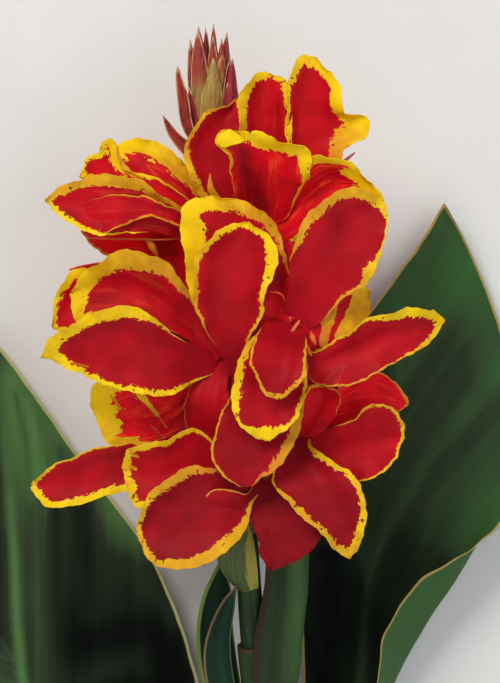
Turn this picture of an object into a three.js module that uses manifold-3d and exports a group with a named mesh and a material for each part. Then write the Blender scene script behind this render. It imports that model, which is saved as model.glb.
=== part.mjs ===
// A cut flowering shoot of a canna lily, lying on its back on a surface, with its flower head looking up.
// Units are millimetres and +Z is up. The stem runs along +Y from its cut end to the buds. The origin is
// the middle of the flat strip on which the lowest leaf's sheath rests, 60 mm above the cut end.
// Each petal, bract and leaf is a thin blade: a sheet lofted through a few rails that run from its root
// to its tip. Each flower's petals are fused at their throat, and the green parts are solids of their own.
import * as THREE from "three";
import { mergeVertices } from "three/addons/utils/BufferGeometryUtils.js";
import Module from "manifold-3d";

const wasm = await Module();
wasm.setup();

// ---- Driving dimensions ----
const SEAT_GAP = 0.3; // between a piece and the piece that carries it
const PETAL_THICKNESS = 0.9;
const GREEN_THICKNESS = 0.8; // of a bract and of a flower's narrow green petals
const LEAF_THICKNESS = 1.1;
const SHEATH_THICKNESS = 1.6;
const MIDRIB_DEPTH = 2.2; // how far a leaf's midrib stands out below its blade
const PETAL_WAVE = 1.3; // height of the waves along a petal's edges
const PETAL_WAVE_LENGTH = 17;
const PETAL_ARCH = 8; // how far a petal's middle stands above the line of its rails
const LEAF_WAVE = 2.5;
const LEAF_WAVE_LENGTH = 95;
const THROAT_RADIUS = 4; // of a flower's tube where its petals part
const TUBE_RADIUS = 2.2; // of a flower's tube where it leaves the ovary
const THROAT_LENGTH = 0.8; // how far the tube reaches in among the petals' roots
const CLAW_HALF_WIDTH = 4.5; // of a petal at its root
const OVARY_LENGTH = 10;
const OVARY_RADIUS = 4.3;
const GREEN_PETAL_REACH = 0.7; // of a green petal along the tube, as a share of the tube's length
const GREEN_PETAL_WIDTH = 7;
const GREEN_PETAL_START = -1.8; // angle of the first green petal round the tube, from its side
const GREEN_PETAL_STANDOFF = 2.6; // between a green petal's tip and the tube
const HEAD_MIDDLE = 60; // height of the stem's axis in the flower head: petals arch away from it
const FLOOR = 0;

// ---- How the waves run along an edge ----
const EDGE_POWER = 3; // the higher, the nearer to the edge the waves stay
const CALM_SHARE = 0.4; // share of a blade's length over which its waves grow
const SIDE_LAG = 1.9; // by which one edge's waves lag the other's

// ---- How finely each kind of piece is divided ----
const PETAL_ROWS = [0, 0.17, 0.35, 0.53, 0.7, 0.86, 0.97];
const NARROW_ROWS = [0.03, 0.35, 0.7, 0.96];
const GREEN_PETAL_ROWS = [0.01, 0.3, 0.6, 0.96];
const BRACT_ROWS = [0, 0.2, 0.4, 0.6, 0.8, 0.96];
const LEAF_ROWS = [
  0, 0.05, 0.1, 0.16, 0.22, 0.29, 0.36, 0.43, 0.5, 0.57, 0.64, 0.71, 0.78, 0.85, 0.91, 0.96, 0.985,
];
const LEAF_COLUMNS = 6;
const STEM_STEPS = 22;
const STEM_SIDES = 10; // so that a flat side faces down
const SHEATH_STEPS = 6;

// Radius along an ovary, and along a bud as a share of its largest radius.
const OVARY_RADII = [[0, 2.2], [0.3, OVARY_RADIUS], [0.7, OVARY_RADIUS * 0.9], [1, TUBE_RADIUS + 0.8]];
const BUD_PROFILE = [[0, 0.5], [0.35, 1], [0.6, 0.9], [1, 0.13]];

const LOOKS = {
  petal: { color: 0xb0141f, roughness: 0.45, metalness: 0 },
  calyx: { color: 0x8f5a34, roughness: 0.6, metalness: 0 },
  bud: { color: 0xa8523f, roughness: 0.6, metalness: 0 },
  bract: { color: 0x7f8433, roughness: 0.6, metalness: 0 },
  stem: { color: 0x4f6f3a, roughness: 0.55, metalness: 0 },
  leaf: { color: 0x2a5a33, roughness: 0.5, metalness: 0 },
};

// The stem's axis, from the cut end up, with its radius at each point: [x, y, z, radius].
const STEM = [
  [0, -60, 9.6, 8.5],
  [0, 0, 9.6, 8.4],
  [1, 60, 9.6, 8.2],
  [3, 120, 13, 7.8],
  [6, 180, 23, 7.4],
  [6, 235, 36, 6.8],
  [1, 280, 47, 5.8],
  [-2, 330, 56, 5.2],
  [-4, 390, 61, 4.6],
  [-8, 450, 64, 4.0],
  [-17, 508, 66, 3.4],
];

// Flowers. node is where a flower leaves the stem's axis and throat is where its petals part. Each
// petal's rails run from the throat to its tip, and left and right are as seen looking along it.
const FLOWERS = {
  top: {
    node: [-5, 432, 62],
    throat: [4, 459, 80],
    petals: [
      {
        left: [[-20, 474, 76], [-29, 492, 82], [-28, 504, 86], [-19, 515, 90], [-11, 519, 90]],
        middle: [[-11, 477, 77], [-16, 495, 79], [-13, 510, 84]],
        right: [[-5, 481, 79], [-4, 499, 85], [-4, 513, 88]],
        tip: [-5, 522, 88],
      },
      {
        left: [[-3, 479, 82], [-5, 499, 88], [-5, 512, 95], [-4, 523, 99], [0, 530, 100]],
        middle: [[5, 483, 79], [6, 508, 83], [7, 523, 90]],
        right: [[15, 481, 80], [19, 502, 86], [18, 516, 93], [15, 529, 98]],
        tip: [8, 533, 97],
      },
      {
        left: [[13, 479, 80], [16, 499, 86], [16, 516, 92], [17, 529, 97], [22, 539, 100]],
        middle: [[17, 476, 78], [26, 499, 81], [28, 517, 86], [30, 530, 93]],
        right: [
          [25, 474, 80], [40, 491, 86], [43, 500, 90], [52, 503, 89], [53, 511, 92], [44, 514, 95],
          [39, 528, 98],
        ],
        tip: [30, 540, 98],
      },
      {
        left: [
          [-2, 467, 83], [-7, 476, 88], [-8, 485, 98], [-10, 495, 106], [-15, 500, 112],
          [-12, 506, 114],
        ],
        middle: [[5, 470, 82], [4, 479, 85], [4, 489, 92], [4, 498, 104]],
        right: [[16, 466, 84], [24, 476, 92], [27, 487, 102], [26, 496, 110], [15, 501, 114]],
        tip: [0, 505, 115],
      },
      {
        left: [
          [17, 469, 88], [22, 482, 99], [28, 495, 108], [38, 493, 111], [49, 488, 110], [56, 480, 108],
        ],
        middle: [[15, 466, 84], [25, 477, 92], [38, 485, 99], [50, 482, 105]],
        right: [[17, 458, 84], [27, 464, 92], [37, 472, 98], [50, 474, 102]],
        tip: [60, 474, 106],
      },
      {
        left: [[21, 456, 82], [25, 440, 83], [23, 427, 82]],
        middle: [[13, 453, 81], [14, 438, 82]],
        right: [[5, 451, 80], [3, 437, 81], [5, 424, 81]],
        tip: [12, 421, 82],
      },
      {
        left: [[-14, 474, 86], [-19, 480, 91]],
        middle: [[-12, 473, 86], [-18, 481, 92]],
        right: [[-9, 473, 86], [-16, 481, 91]],
        tip: [-18, 488, 93],
        narrow: true,
      },
    ],
  },
  upper_left: {
    node: [-7, 440, 63],
    throat: [-20, 464, 72],
    petals: [
      {
        left: [[-27, 473, 74], [-37, 479, 79], [-48, 484, 82], [-58, 490, 84]],
        middle: [[-24, 474, 72], [-33, 487, 76], [-45, 495, 82]],
        right: [[-21, 480, 74], [-29, 492, 77], [-38, 500, 82], [-51, 504, 86]],
        tip: [-62, 499, 86],
      },
      {
        left: [[-27, 466, 80], [-41, 476, 85], [-54, 482, 88], [-68, 484, 89]],
        middle: [[-26, 471, 77], [-41, 481, 82], [-56, 488, 86], [-68, 491, 89]],
        right: [
          [-24, 473, 77], [-38, 484, 83], [-57, 491, 88], [-62, 503, 93], [-66, 502, 94],
          [-67, 498, 91], [-73, 495, 90],
        ],
        tip: [-77, 486, 88],
      },
      {
        left: [[-27, 458, 80], [-41, 461, 85], [-54, 461, 87], [-69, 460, 89], [-81, 467, 88]],
        middle: [[-28, 466, 82], [-45, 473, 87], [-63, 475, 89], [-81, 477, 88]],
        right: [[-27, 471, 84], [-37, 476, 90], [-47, 483, 95], [-63, 487, 95], [-78, 484, 92]],
        tip: [-92, 477, 84],
      },
      {
        left: [[-28, 449, 68], [-27, 432, 65], [-46, 445, 66], [-63, 450, 70], [-72, 456, 73]],
        middle: [[-31, 459, 68], [-46, 456, 69], [-63, 458, 72]],
        right: [[-27, 463, 72], [-45, 467, 76], [-64, 466, 78]],
        tip: [-77, 463, 76],
      },
      {
        left: [[-32, 449, 60], [-55, 447, 67], [-77, 444, 71]],
        middle: [[-32, 451, 61], [-55, 449, 68], [-77, 445, 72]],
        right: [[-32, 452, 60], [-55, 450, 67], [-77, 447, 71]],
        tip: [-83, 445, 72],
        narrow: true,
      },
      {
        left: [[-29, 463, 88], [-45, 468, 92], [-57, 464, 93], [-69, 461, 90]],
        middle: [[-29, 466, 87], [-45, 471, 92], [-63, 470, 94]],
        right: [[-28, 469, 88], [-38, 474, 94], [-56, 478, 96], [-70, 476, 93]],
        tip: [-80, 471, 90],
      },
    ],
  },
  left: {
    node: [-4, 382, 58],
    throat: [-15, 403, 80],
    petals: [
      {
        left: [[-27, 412, 82], [-45, 420, 86], [-63, 425, 89], [-75, 428, 90]],
        middle: [[-25, 416, 80], [-41, 431, 84], [-61, 438, 88]],
        right: [[-19, 420, 82], [-25, 431, 87], [-37, 448, 94], [-54, 455, 98], [-70, 445, 96]],
        tip: [-78, 436, 92],
      },
      {
        left: [[-32, 408, 74], [-57, 414, 77], [-77, 416, 80]],
        middle: [[-32, 416, 73], [-59, 428, 76], [-79, 430, 79]],
        right: [[-30, 424, 75], [-57, 438, 80], [-77, 445, 84], [-86, 437, 84]],
        tip: [-90, 418, 82],
      },
      {
        left: [[-25, 394, 84], [-37, 388, 92], [-54, 390, 95], [-70, 395, 95], [-84, 403, 94]],
        middle: [[-25, 402, 84], [-40, 405, 92], [-61, 408, 96], [-78, 409, 97]],
        right: [
          [-26, 411, 88], [-35, 416, 97], [-45, 425, 104], [-60, 429, 107], [-75, 422, 105],
          [-85, 414, 100],
        ],
        tip: [-94, 405, 92],
      },
      {
        left: [[-23, 388, 72], [-33, 372, 68], [-50, 365, 66], [-64, 365, 65]],
        middle: [[-26, 392, 71], [-46, 383, 67], [-60, 379, 65]],
        right: [[-28, 398, 74], [-50, 396, 71], [-70, 394, 69], [-73, 386, 67]],
        tip: [-71, 378, 66],
      },
      {
        left: [[-10, 389, 79], [-10, 374, 76]],
        middle: [[-19, 388, 77], [-19, 373, 74]],
        right: [[-27, 392, 76], [-30, 379, 73], [-26, 367, 72]],
        tip: [-17, 357, 71],
      },
    ],
  },
  centre: {
    node: [-3, 366, 57],
    throat: [-5, 397, 88],
    petals: [
      {
        left: [[-13, 407, 93], [-21, 419, 100], [-25, 433, 107], [-24, 448, 111], [-16, 460, 113]],
        middle: [[-6, 411, 92], [-8, 431, 97], [-6, 450, 102]],
        right: [[-1, 411, 94], [5, 423, 101], [8, 437, 107], [13, 450, 110], [6, 461, 112]],
        tip: [-1, 466, 110],
      },
      {
        left: [[-13, 408, 87], [-26, 430, 93], [-29, 448, 96], [-31, 463, 96], [-30, 473, 97]],
        middle: [[-5, 415, 86], [-6, 438, 88], [-8, 460, 90]],
        right: [[5, 416, 86], [17, 435, 88], [16, 451, 91], [9, 468, 94], [-4, 475, 97]],
        tip: [-18, 478, 97],
      },
      {
        left: [[-5, 389, 91]],
        middle: [[-9, 392, 92]],
        right: [[-13, 400, 91], [-14, 389, 90]],
        tip: [-10, 381, 90],
        narrow: true,
      },
    ],
  },
  right: {
    node: [-3, 396, 60],
    throat: [18, 421, 96],
    petals: [
      {
        left: [[17, 435, 101], [18, 449, 107], [24, 466, 113], [36, 477, 117], [49, 480, 116]],
        middle: [[25, 431, 99], [36, 448, 104], [46, 464, 108]],
        right: [[29, 419, 98], [42, 432, 101], [52, 438, 104], [58, 451, 107], [61, 464, 110]],
        tip: [60, 474, 112],
      },
      {
        left: [[24, 418, 102], [25, 408, 112], [24, 398, 118], [19, 390, 121]],
        middle: [[15, 411, 105], [13, 400, 112]],
        right: [[7, 421, 102], [1, 410, 111], [1, 400, 118], [6, 390, 121]],
        tip: [13, 387, 121],
      },
      {
        left: [[25, 409, 98], [25, 392, 105], [22, 381, 109], [16, 373, 111]],
        middle: [[15, 408, 99], [9, 393, 103], [8, 380, 107]],
        right: [[3, 411, 99], [-6, 400, 105], [-8, 385, 109], [-4, 374, 111]],
        tip: [8, 368, 111],
      },
      {
        left: [[24, 402, 94], [24, 382, 97], [21, 370, 99], [15, 359, 101]],
        middle: [[14, 404, 93], [5, 386, 94], [2, 368, 96]],
        right: [[6, 408, 93], [-7, 391, 97], [-15, 374, 100], [-17, 362, 103], [-11, 351, 104]],
        tip: [0, 347, 102],
      },
      {
        left: [[25, 408, 96], [37, 412, 98], [50, 421, 100], [66, 426, 99], [80, 427, 94]],
        middle: [[28, 403, 93], [47, 408, 91], [67, 416, 92]],
        right: [[29, 394, 93], [45, 393, 94], [65, 403, 93], [81, 412, 90]],
        tip: [88, 422, 86],
      },
      {
        left: [[26, 412, 92], [32, 423, 93], [35, 430, 92]],
        middle: [[28, 411, 91], [36, 422, 92], [37, 429, 91]],
        right: [[31, 410, 91], [39, 421, 91], [40, 428, 90]],
        tip: [39, 432, 90],
        narrow: true,
      },
      {
        left: [[29, 426, 93], [40, 436, 91], [48, 440, 90]],
        middle: [[31, 421, 92], [43, 429, 90]],
        right: [[28, 409, 92], [40, 411, 91], [53, 422, 89]],
        tip: [54, 435, 90],
      },
    ],
  },
  lower_right: {
    node: [-2, 346, 55],
    throat: [23, 369, 76],
    petals: [
      {
        left: [[30, 379, 74], [43, 393, 73], [59, 398, 72], [67, 393, 70]],
        middle: [[32, 377, 72], [50, 385, 68]],
        right: [[34, 372, 71], [50, 377, 68], [67, 380, 67]],
        tip: [73, 384, 68],
      },
      {
        left: [[33, 372, 79], [43, 376, 83], [54, 383, 85], [64, 383, 84], [69, 376, 80]],
        middle: [[34, 365, 76], [50, 367, 73], [61, 368, 74]],
        right: [[33, 359, 74], [45, 349, 73], [57, 351, 75], [65, 358, 76]],
        tip: [70, 368, 76],
      },
      {
        left: [[28, 365, 84], [37, 359, 90], [49, 349, 92], [52, 335, 91], [50, 322, 88]],
        middle: [[23, 361, 83], [32, 347, 87], [42, 331, 87]],
        right: [[14, 361, 84], [10, 350, 89], [21, 336, 91], [32, 326, 90], [39, 318, 88]],
        tip: [45, 314, 86],
      },
      {
        left: [[23, 378, 81], [23, 386, 85], [26, 391, 88]],
        middle: [[28, 378, 79], [32, 386, 82]],
        right: [[33, 372, 80], [39, 380, 83], [40, 388, 87]],
        tip: [32, 393, 88],
      },
    ],
  },
  bottom: {
    node: [-1, 320, 51],
    throat: [2, 348, 84],
    petals: [
      {
        left: [[14, 343, 83], [25, 334, 81], [32, 325, 79], [24, 315, 78]],
        middle: [[7, 341, 81], [15, 325, 78]],
        right: [[0, 339, 83], [0, 333, 83], [3, 325, 82], [5, 315, 80]],
        tip: [9, 308, 78],
      },
      {
        left: [[1, 339, 88], [-2, 328, 94], [-13, 317, 99], [-29, 311, 100], [-44, 314, 101]],
        middle: [[-4, 344, 88], [-20, 339, 94], [-38, 332, 98]],
        right: [[-4, 352, 91], [-16, 356, 99], [-29, 356, 104], [-40, 349, 106], [-48, 339, 104]],
        tip: [-51, 327, 100],
      },
      {
        left: [[-5, 347, 82], [-23, 345, 81], [-39, 342, 80], [-51, 337, 79]],
        middle: [[-6, 353, 81], [-23, 358, 80], [-43, 354, 78]],
        right: [[-5, 358, 83], [-13, 365, 85], [-26, 373, 87], [-41, 367, 85], [-55, 364, 82]],
        tip: [-58, 354, 79],
      },
      {
        left: [[-8, 348, 76], [-32, 344, 68], [-58, 344, 67], [-78, 338, 67], [-93, 337, 66]],
        middle: [[-7, 352, 75], [-32, 353, 66], [-59, 354, 65], [-80, 349, 65]],
        right: [[-6, 357, 77], [-32, 362, 71], [-59, 366, 70], [-78, 361, 70], [-94, 353, 67]],
        tip: [-101, 346, 64],
      },
      {
        left: [[-4, 336, 97], [-14, 336, 102]],
        middle: [[-4, 341, 96], [-13, 342, 102]],
        right: [[-2, 344, 97], [-8, 346, 101], [-17, 346, 103]],
        tip: [-22, 340, 102],
        narrow: true,
      },
    ],
  },
  back_left: {
    node: [-3, 370, 60],
    throat: [-24, 396, 33],
    petals: [
      {
        left: [[-42, 384, 22], [-62, 388, 12]],
        middle: [[-42, 396, 17], [-60, 400, 9]],
        right: [[-40, 410, 22], [-60, 412, 13]],
        tip: [-76, 402, 10],
      },
      {
        left: [[-40, 412, 26], [-57, 430, 18]],
        middle: [[-34, 420, 21], [-48, 438, 14]],
        right: [[-26, 424, 26], [-38, 448, 20]],
        tip: [-58, 452, 16],
      },
      {
        left: [[-22, 378, 24], [-28, 360, 15]],
        middle: [[-32, 378, 20], [-38, 362, 12]],
        right: [[-42, 380, 25], [-52, 364, 17]],
        tip: [-44, 346, 14],
      },
    ],
  },
  back_right: {
    node: [-4, 402, 61],
    throat: [20, 424, 37],
    petals: [
      {
        left: [[36, 438, 33], [52, 436, 27]],
        middle: [[38, 426, 28], [54, 424, 23]],
        right: [[38, 412, 33], [54, 412, 27]],
        tip: [66, 424, 24],
      },
      {
        left: [[14, 446, 34], [24, 468, 28]],
        middle: [[26, 446, 28], [36, 464, 24]],
        right: [[34, 436, 33], [48, 454, 27]],
        tip: [44, 474, 26],
      },
      {
        left: [[34, 406, 31], [46, 388, 25]],
        middle: [[26, 404, 27], [34, 386, 21]],
        right: [[16, 406, 31], [22, 384, 25]],
        tip: [36, 372, 23],
      },
    ],
  },
  back_bottom: {
    node: [-1, 332, 56],
    throat: [-3, 356, 33],
    petals: [
      {
        left: [[-8, 338, 26], [-16, 320, 17]],
        middle: [[-17, 342, 21], [-26, 326, 14]],
        right: [[-22, 350, 27], [-36, 338, 19]],
        tip: [-32, 314, 15],
      },
      {
        left: [[16, 348, 28], [30, 342, 21]],
        middle: [[10, 338, 22], [21, 328, 17]],
        right: [[2, 336, 27], [8, 320, 20]],
        tip: [26, 314, 18],
      },
    ],
  },
};

// Leaves, from the lowest up. sheath is the stretch of stem, in Y, that the leaf's base wraps.
const LEAVES = {
  leaf_left: {
    sheath: [-56, 83],
    rails: [
      [
        [-5, 50, 3], [-9, 74, 4], [-32, 98, 6], [-84, 132, 6], [-142, 186, 5], [-194, 262, 4],
        [-222, 350, 7], [-222, 420, 12],
      ],
      [
        [-9.3, 52, 10], [-11, 78, 11], [-20, 108, 11], [-42, 150, 8], [-84, 216, 3],
        [-132, 292, 1.2], [-172, 366, 3], [-202, 424, 10],
      ],
      [
        [-2, 54, 19.5], [-6, 90, 22], [-11, 134, 25], [-17, 190, 26], [-26, 256, 22],
        [-44, 308, 17], [-76, 351, 14], [-112, 402, 12], [-156, 446, 13], [-190, 462, 15],
      ],
    ],
    tip: [-218, 468, 18],
  },
  leaf_right: {
    sheath: [85, 142],
    rails: [
      [
        [4, 112, 3.5], [12, 132, 5], [18, 180, 8], [25, 245, 8], [24, 314, 7], [24, 350, 6],
        [30, 386, 5.5], [43, 411, 7], [59, 430, 9], [78, 454, 11],
      ],
      [
        [11.5, 114, 9], [15, 136, 10], [32, 180, 8], [48, 235, 5], [55, 290, 2.5], [60, 335, 2],
        [71, 390, 3], [83, 440, 7],
      ],
      [
        [12, 116, 16], [20, 140, 17], [46, 190, 15], [68, 252, 15], [82, 279, 20], [96, 304, 22],
        [104, 340, 12], [103, 380, 6], [99, 420, 7], [97, 452, 11],
      ],
      [
        [6, 118, 21.5], [14, 150, 27], [36, 198, 36], [56, 252, 42], [63, 277, 45], [74, 293, 45],
        [95, 311, 40], [116, 328, 28], [127, 350, 18], [128, 378, 12], [122, 408, 9],
        [112, 438, 10], [102, 460, 12],
      ],
    ],
    tip: [92, 478, 14],
  },
  leaf_upper: {
    sheath: [210, 272],
    rails: [
      [[4, 236, 46], [2, 262, 54], [4, 283, 57.5], [6.5, 307, 57], [9, 328, 56]],
      [[16, 232, 38], [22, 252, 42], [25, 282, 46], [27, 308, 49], [25, 334, 50]],
      [[6, 232, 27], [9, 256, 32], [12, 284, 37], [14, 308, 41], [15, 330, 44]],
    ],
    tip: [18, 348, 50],
  },
};

// Small leaves that stay narrow, each seated on the stem: the same rails as a leaf.
const BRACTS = {
  leaf_small_back: {
    look: "leaf",
    rails: [
      [[2, 196, 20], [-11, 226, 30], [-22, 252, 34], [-25, 276, 38], [-22, 294, 40]],
      [[4, 197, 19], [-5, 226, 26], [-13, 255, 31], [-16, 278, 35], [-16, 296, 38]],
      [[6, 198, 19], [0, 228, 25], [-5, 256, 30], [-8, 280, 35], [-9, 298, 38]],
    ],
    tip: [-14, 311, 42],
  },
  leaf_small_front: {
    look: "leaf",
    rails: [
      [[0, 201, 36], [-10, 226, 44], [-20, 254, 51], [-21, 272, 54], [-14, 291, 57]],
      [[3, 200, 37], [-4, 226, 45], [-12, 254, 52], [-14, 274, 55], [-10, 291, 57]],
      [[5, 200, 35], [0, 228, 45], [-7, 254, 50], [-9, 274, 53], [-7, 290, 56]],
    ],
    tip: [-6, 301, 58],
  },
  bract: {
    look: "bract",
    rails: [
      [[-5, 297, 52], [-12, 305, 57], [-15, 314, 61], [-10, 322, 65]],
      [[-1, 296, 55], [-4, 305, 61], [-5, 316, 66], [-3, 323, 68]],
      [[4, 297, 53], [3.6, 306, 61], [2.5, 316, 65], [1, 324, 67]],
    ],
    tip: [-1, 330, 69],
  },
};

// Buds, each [root, tip, radius].
const BUDS = [
  [[-17, 505, 68], [-16.6, 540, 76], 5.2],
  [[-16.6, 512, 67], [-16.6, 557, 72], 2.7],
  [[-21, 508, 65], [-23.5, 556, 69], 4.3],
  [[-20, 510, 63], [-20.3, 556, 67], 2.4],
  [[-23, 508, 63], [-27.4, 550.5, 66], 3],
  [[-14.5, 508, 68], [-12.8, 550.5, 72], 3],
  [[-14, 508, 65], [-10.5, 553.5, 68], 3.6],
  [[-10.5, 506, 68], [-8, 541, 74], 4.2],
  [[-17, 507, 63], [-16, 546, 59], 3.2],
  [[-15, 506, 63], [-8, 540, 61], 3.2],
  [[-19, 506, 63], [-23, 541, 62], 3],
];

// The slender bracts beside the buds.
const BUD_BRACTS = [
  {
    root: [-19, 494, 67],
    left: [[-30.5, 509, 69], [-33.5, 526, 70], [-34, 534, 70]],
    middle: [[-28, 510, 68], [-31, 525, 69], [-32.8, 534, 70]],
    right: [[-26, 511, 70], [-28, 523, 71], [-31, 533, 71]],
    tip: [-33, 538.5, 70],
  },
  {
    root: [-19, 489, 66],
    left: [[-31, 498, 67], [-38, 508, 67]],
    middle: [[-28, 499, 66], [-36, 508, 66]],
    right: [[-26, 501, 69], [-34, 509, 68]],
    tip: [-40, 516, 67],
  },
  {
    root: [-18.5, 500, 67],
    left: [[-27, 512, 66], [-28.5, 521, 67]],
    middle: [[-24, 512, 67], [-26.4, 521, 67.5]],
    right: [[-20.5, 513, 69], [-24, 520, 69]],
    tip: [-28, 529, 68],
  },
];

// ---- Curves ----

function vector(point) {
  return new THREE.Vector3(...point);
}

// A smooth curve through points; getPointAt walks it by its length.
function curveThrough(points) {
  return new THREE.CatmullRomCurve3(points.map(vector), false, "centripetal");
}

// The value at x between stations [[x, value], ...], along straight lines.
function between(stations, x) {
  const last = stations.length - 1;
  let i = 0;
  while (i < last - 1 && x > stations[i + 1][0]) i += 1;
  const [x0, v0] = stations[i];
  const [x1, v1] = stations[i + 1];
  const share = THREE.MathUtils.clamp((x - x0) / (x1 - x0), 0, 1);
  return v0 + (v1 - v0) * share;
}

// Equal steps from 0 to 1.
function evenShares(count) {
  return Array.from({ length: count + 1 }, (_, i) => i / count);
}

// ---- Solids ----

// The solid that triangles close, with its faces turned outwards.
function solidOf(points, triangles) {
  const geometry = new THREE.BufferGeometry();
  const numbers = points.flatMap((point) => point.toArray());
  geometry.setAttribute("position", new THREE.Float32BufferAttribute(numbers, 3));
  geometry.setIndex(triangles.flat());
  const merged = mergeVertices(geometry, 1e-4);
  const vertProperties = new Float32Array(merged.attributes.position.array);
  const triVerts = new Uint32Array(merged.index.array);
  const solid = new wasm.Manifold(new wasm.Mesh({ numProp: 3, vertProperties, triVerts }));
  return solid.volume() > 0 ? solid : solidOf(points, triangles.map(([a, b, c]) => [a, c, b]));
}

// The largest body of a solid: loose scraps are dropped, and hollows that fusing sealed are filled.
function wholeBody(solid) {
  return solid.decompose().reduce((largest, one) => (one.volume() > largest.volume() ? one : largest));
}

function fuse(solids) {
  return wholeBody(solids.reduce((all, one) => all.add(one)));
}

// What a blade has unless it says otherwise: no waves, no arch, no rib and no floor under it.
const PLAIN_BLADE = { wave: 0, waveLength: 1, phase: 0, arch: 0, rib: 0, ribAt: 0.5, floor: -Infinity };

// The middle of a blade as a grid: a row of points at each share of the rails' length.
function sheetOf({ rails, rows, columns }) {
  const curves = rails.map(curveThrough);
  return rows.map((row) => {
    const stations = curves.map((curve) => curve.getPointAt(row));
    const across = new THREE.CatmullRomCurve3(stations, false, "catmullrom", 0.5);
    return columns.map((column) => across.getPoint(column));
  });
}

// The way that a sheet faces at row i and column j.
function facing(sheet, i, j) {
  const before = sheet[Math.max(i - 1, 0)][j];
  const after = sheet[Math.min(i + 1, sheet.length - 1)][j];
  const left = sheet[i][Math.max(j - 1, 0)];
  const right = sheet[i][Math.min(j + 1, sheet[i].length - 1)];
  return right.clone().sub(left).cross(after.clone().sub(before)).normalize();
}

// How far the waved edge stands off the sheet: nothing at the root and the middle, most at the edges.
function waveAt(blade, length, row, column) {
  const fromMiddle = Math.abs(2 * column - 1) ** EDGE_POWER;
  const fromRoot = Math.min(1, row / CALM_SHARE);
  const turn = (2 * Math.PI * length * row) / blade.waveLength + (column > 0.5 ? SIDE_LAG : 0) + blade.phase;
  return blade.wave * fromMiddle * fromRoot * Math.sin(turn);
}

// A closed blade round its sheet: row by row, the points of its upper and then of its lower face.
function bladeSolid(wanted) {
  const blade = { ...PLAIN_BLADE, ...wanted };
  const sheet = sheetOf(blade);
  const length = curveThrough(blade.rails[1]).getLength();
  const points = [];
  blade.rows.forEach((row, i) => {
    const faces = [[], []];
    blade.columns.forEach((column, j) => {
      const out = facing(sheet, i, j);
      const middle = sheet[i][j].clone().addScaledVector(out, waveAt(blade, length, row, column));
      middle.z += blade.arch * Math.sin(Math.PI * row);
      const rib = Math.abs(column - blade.ribAt) < 1e-6 ? blade.rib * (1 - row) : 0;
      faces[0].push(middle.clone().addScaledVector(out, blade.thickness / 2));
      faces[1].push(middle.clone().addScaledVector(out, -blade.thickness / 2 - rib));
    });
    points.push(...faces.flat());
  });
  for (const point of points) point.z = Math.max(point.z, blade.floor);
  return solidOf(points, bladeTriangles(blade.rows.length, blade.columns.length));
}

// The faces of a blade: both sides split the same way, and a strip all round its rim.
function bladeTriangles(rows, columns) {
  const triangles = [];
  const upper = (i, j) => 2 * i * columns + j;
  const lower = (i, j) => upper(i, j) + columns;
  const quad = (a, b, c, d) => triangles.push([a, b, c], [a, c, d]);
  const [lastRow, lastColumn] = [rows - 1, columns - 1];
  for (let i = 0; i < lastRow; i += 1) {
    for (let j = 0; j < lastColumn; j += 1) {
      quad(upper(i, j), upper(i, j + 1), upper(i + 1, j + 1), upper(i + 1, j));
      triangles.push([lower(i, j), lower(i + 1, j + 1), lower(i, j + 1)]);
      triangles.push([lower(i, j), lower(i + 1, j), lower(i + 1, j + 1)]);
    }
    quad(upper(i, 0), upper(i + 1, 0), lower(i + 1, 0), lower(i, 0));
    quad(upper(i, lastColumn), lower(i, lastColumn), lower(i + 1, lastColumn), upper(i + 1, lastColumn));
  }
  for (let j = 0; j < lastColumn; j += 1) {
    quad(upper(0, j), lower(0, j), lower(0, j + 1), upper(0, j + 1));
    quad(upper(lastRow, j), upper(lastRow, j + 1), lower(lastRow, j + 1), lower(lastRow, j));
  }
  return triangles;
}

// A closed bar along a curve, with stations of [share of its length, radius] and a fan at either end.
function barSolid({ curve, radii, steps, sides, floor = -Infinity }) {
  const points = [];
  for (const share of evenShares(steps)) {
    const along = curve.getTangentAt(share);
    const level = Math.abs(along.z) > 0.9 ? new THREE.Vector3(1, 0, 0) : new THREE.Vector3(0, 0, 1);
    const side = along.clone().cross(level).normalize();
    const up = side.clone().cross(along);
    for (let k = 0; k < sides; k += 1) {
      const angle = (2 * Math.PI * k) / sides;
      const out = side.clone().multiplyScalar(Math.cos(angle)).addScaledVector(up, Math.sin(angle));
      const point = curve.getPointAt(share).addScaledVector(out, between(radii, share));
      point.z = Math.max(point.z, floor);
      points.push(point);
    }
  }
  points.push(curve.getPointAt(0), curve.getPointAt(1));
  return solidOf(points, barTriangles(steps, sides));
}

function barTriangles(steps, sides) {
  const triangles = [];
  const at = (i, k) => i * sides + (k % sides);
  const start = (steps + 1) * sides;
  for (let k = 0; k < sides; k += 1) {
    for (let i = 0; i < steps; i += 1) {
      triangles.push([at(i, k), at(i, k + 1), at(i + 1, k + 1)]);
      triangles.push([at(i, k), at(i + 1, k + 1), at(i + 1, k)]);
    }
    triangles.push([start, at(0, k + 1), at(0, k)], [start + 1, at(steps, k), at(steps, k + 1)]);
  }
  return triangles;
}

// ---- The stem ----

const CUT_END = STEM[0][1];
const STEM_TIP = STEM[STEM.length - 1][1];
const stemCurve = curveThrough(STEM.map((station) => station.slice(0, 3)));
const stemWalk = evenShares(400).map((share) => stemCurve.getPointAt(share));

function stemRadiusAt(y) {
  return between(STEM.map((station) => [station[1], station[3]]), y);
}

// The point of the stem's axis at a length y along the shoot.
function stemPointAt(y) {
  return (stemWalk.find((point) => point.y >= y) ?? stemWalk[stemWalk.length - 1]).toArray();
}

// A bar round the stem's axis from one y to another, thicker than the stem by grow.
function stemBar({ fromY, toY, grow, steps, floor }) {
  const stations = evenShares(steps).map((share) => fromY + (toY - fromY) * share);
  const radii = stations.map((y, i) => [i / steps, stemRadiusAt(y) + grow]);
  return barSolid({ curve: curveThrough(stations.map(stemPointAt)), radii, steps, sides: STEM_SIDES, floor });
}

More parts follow.
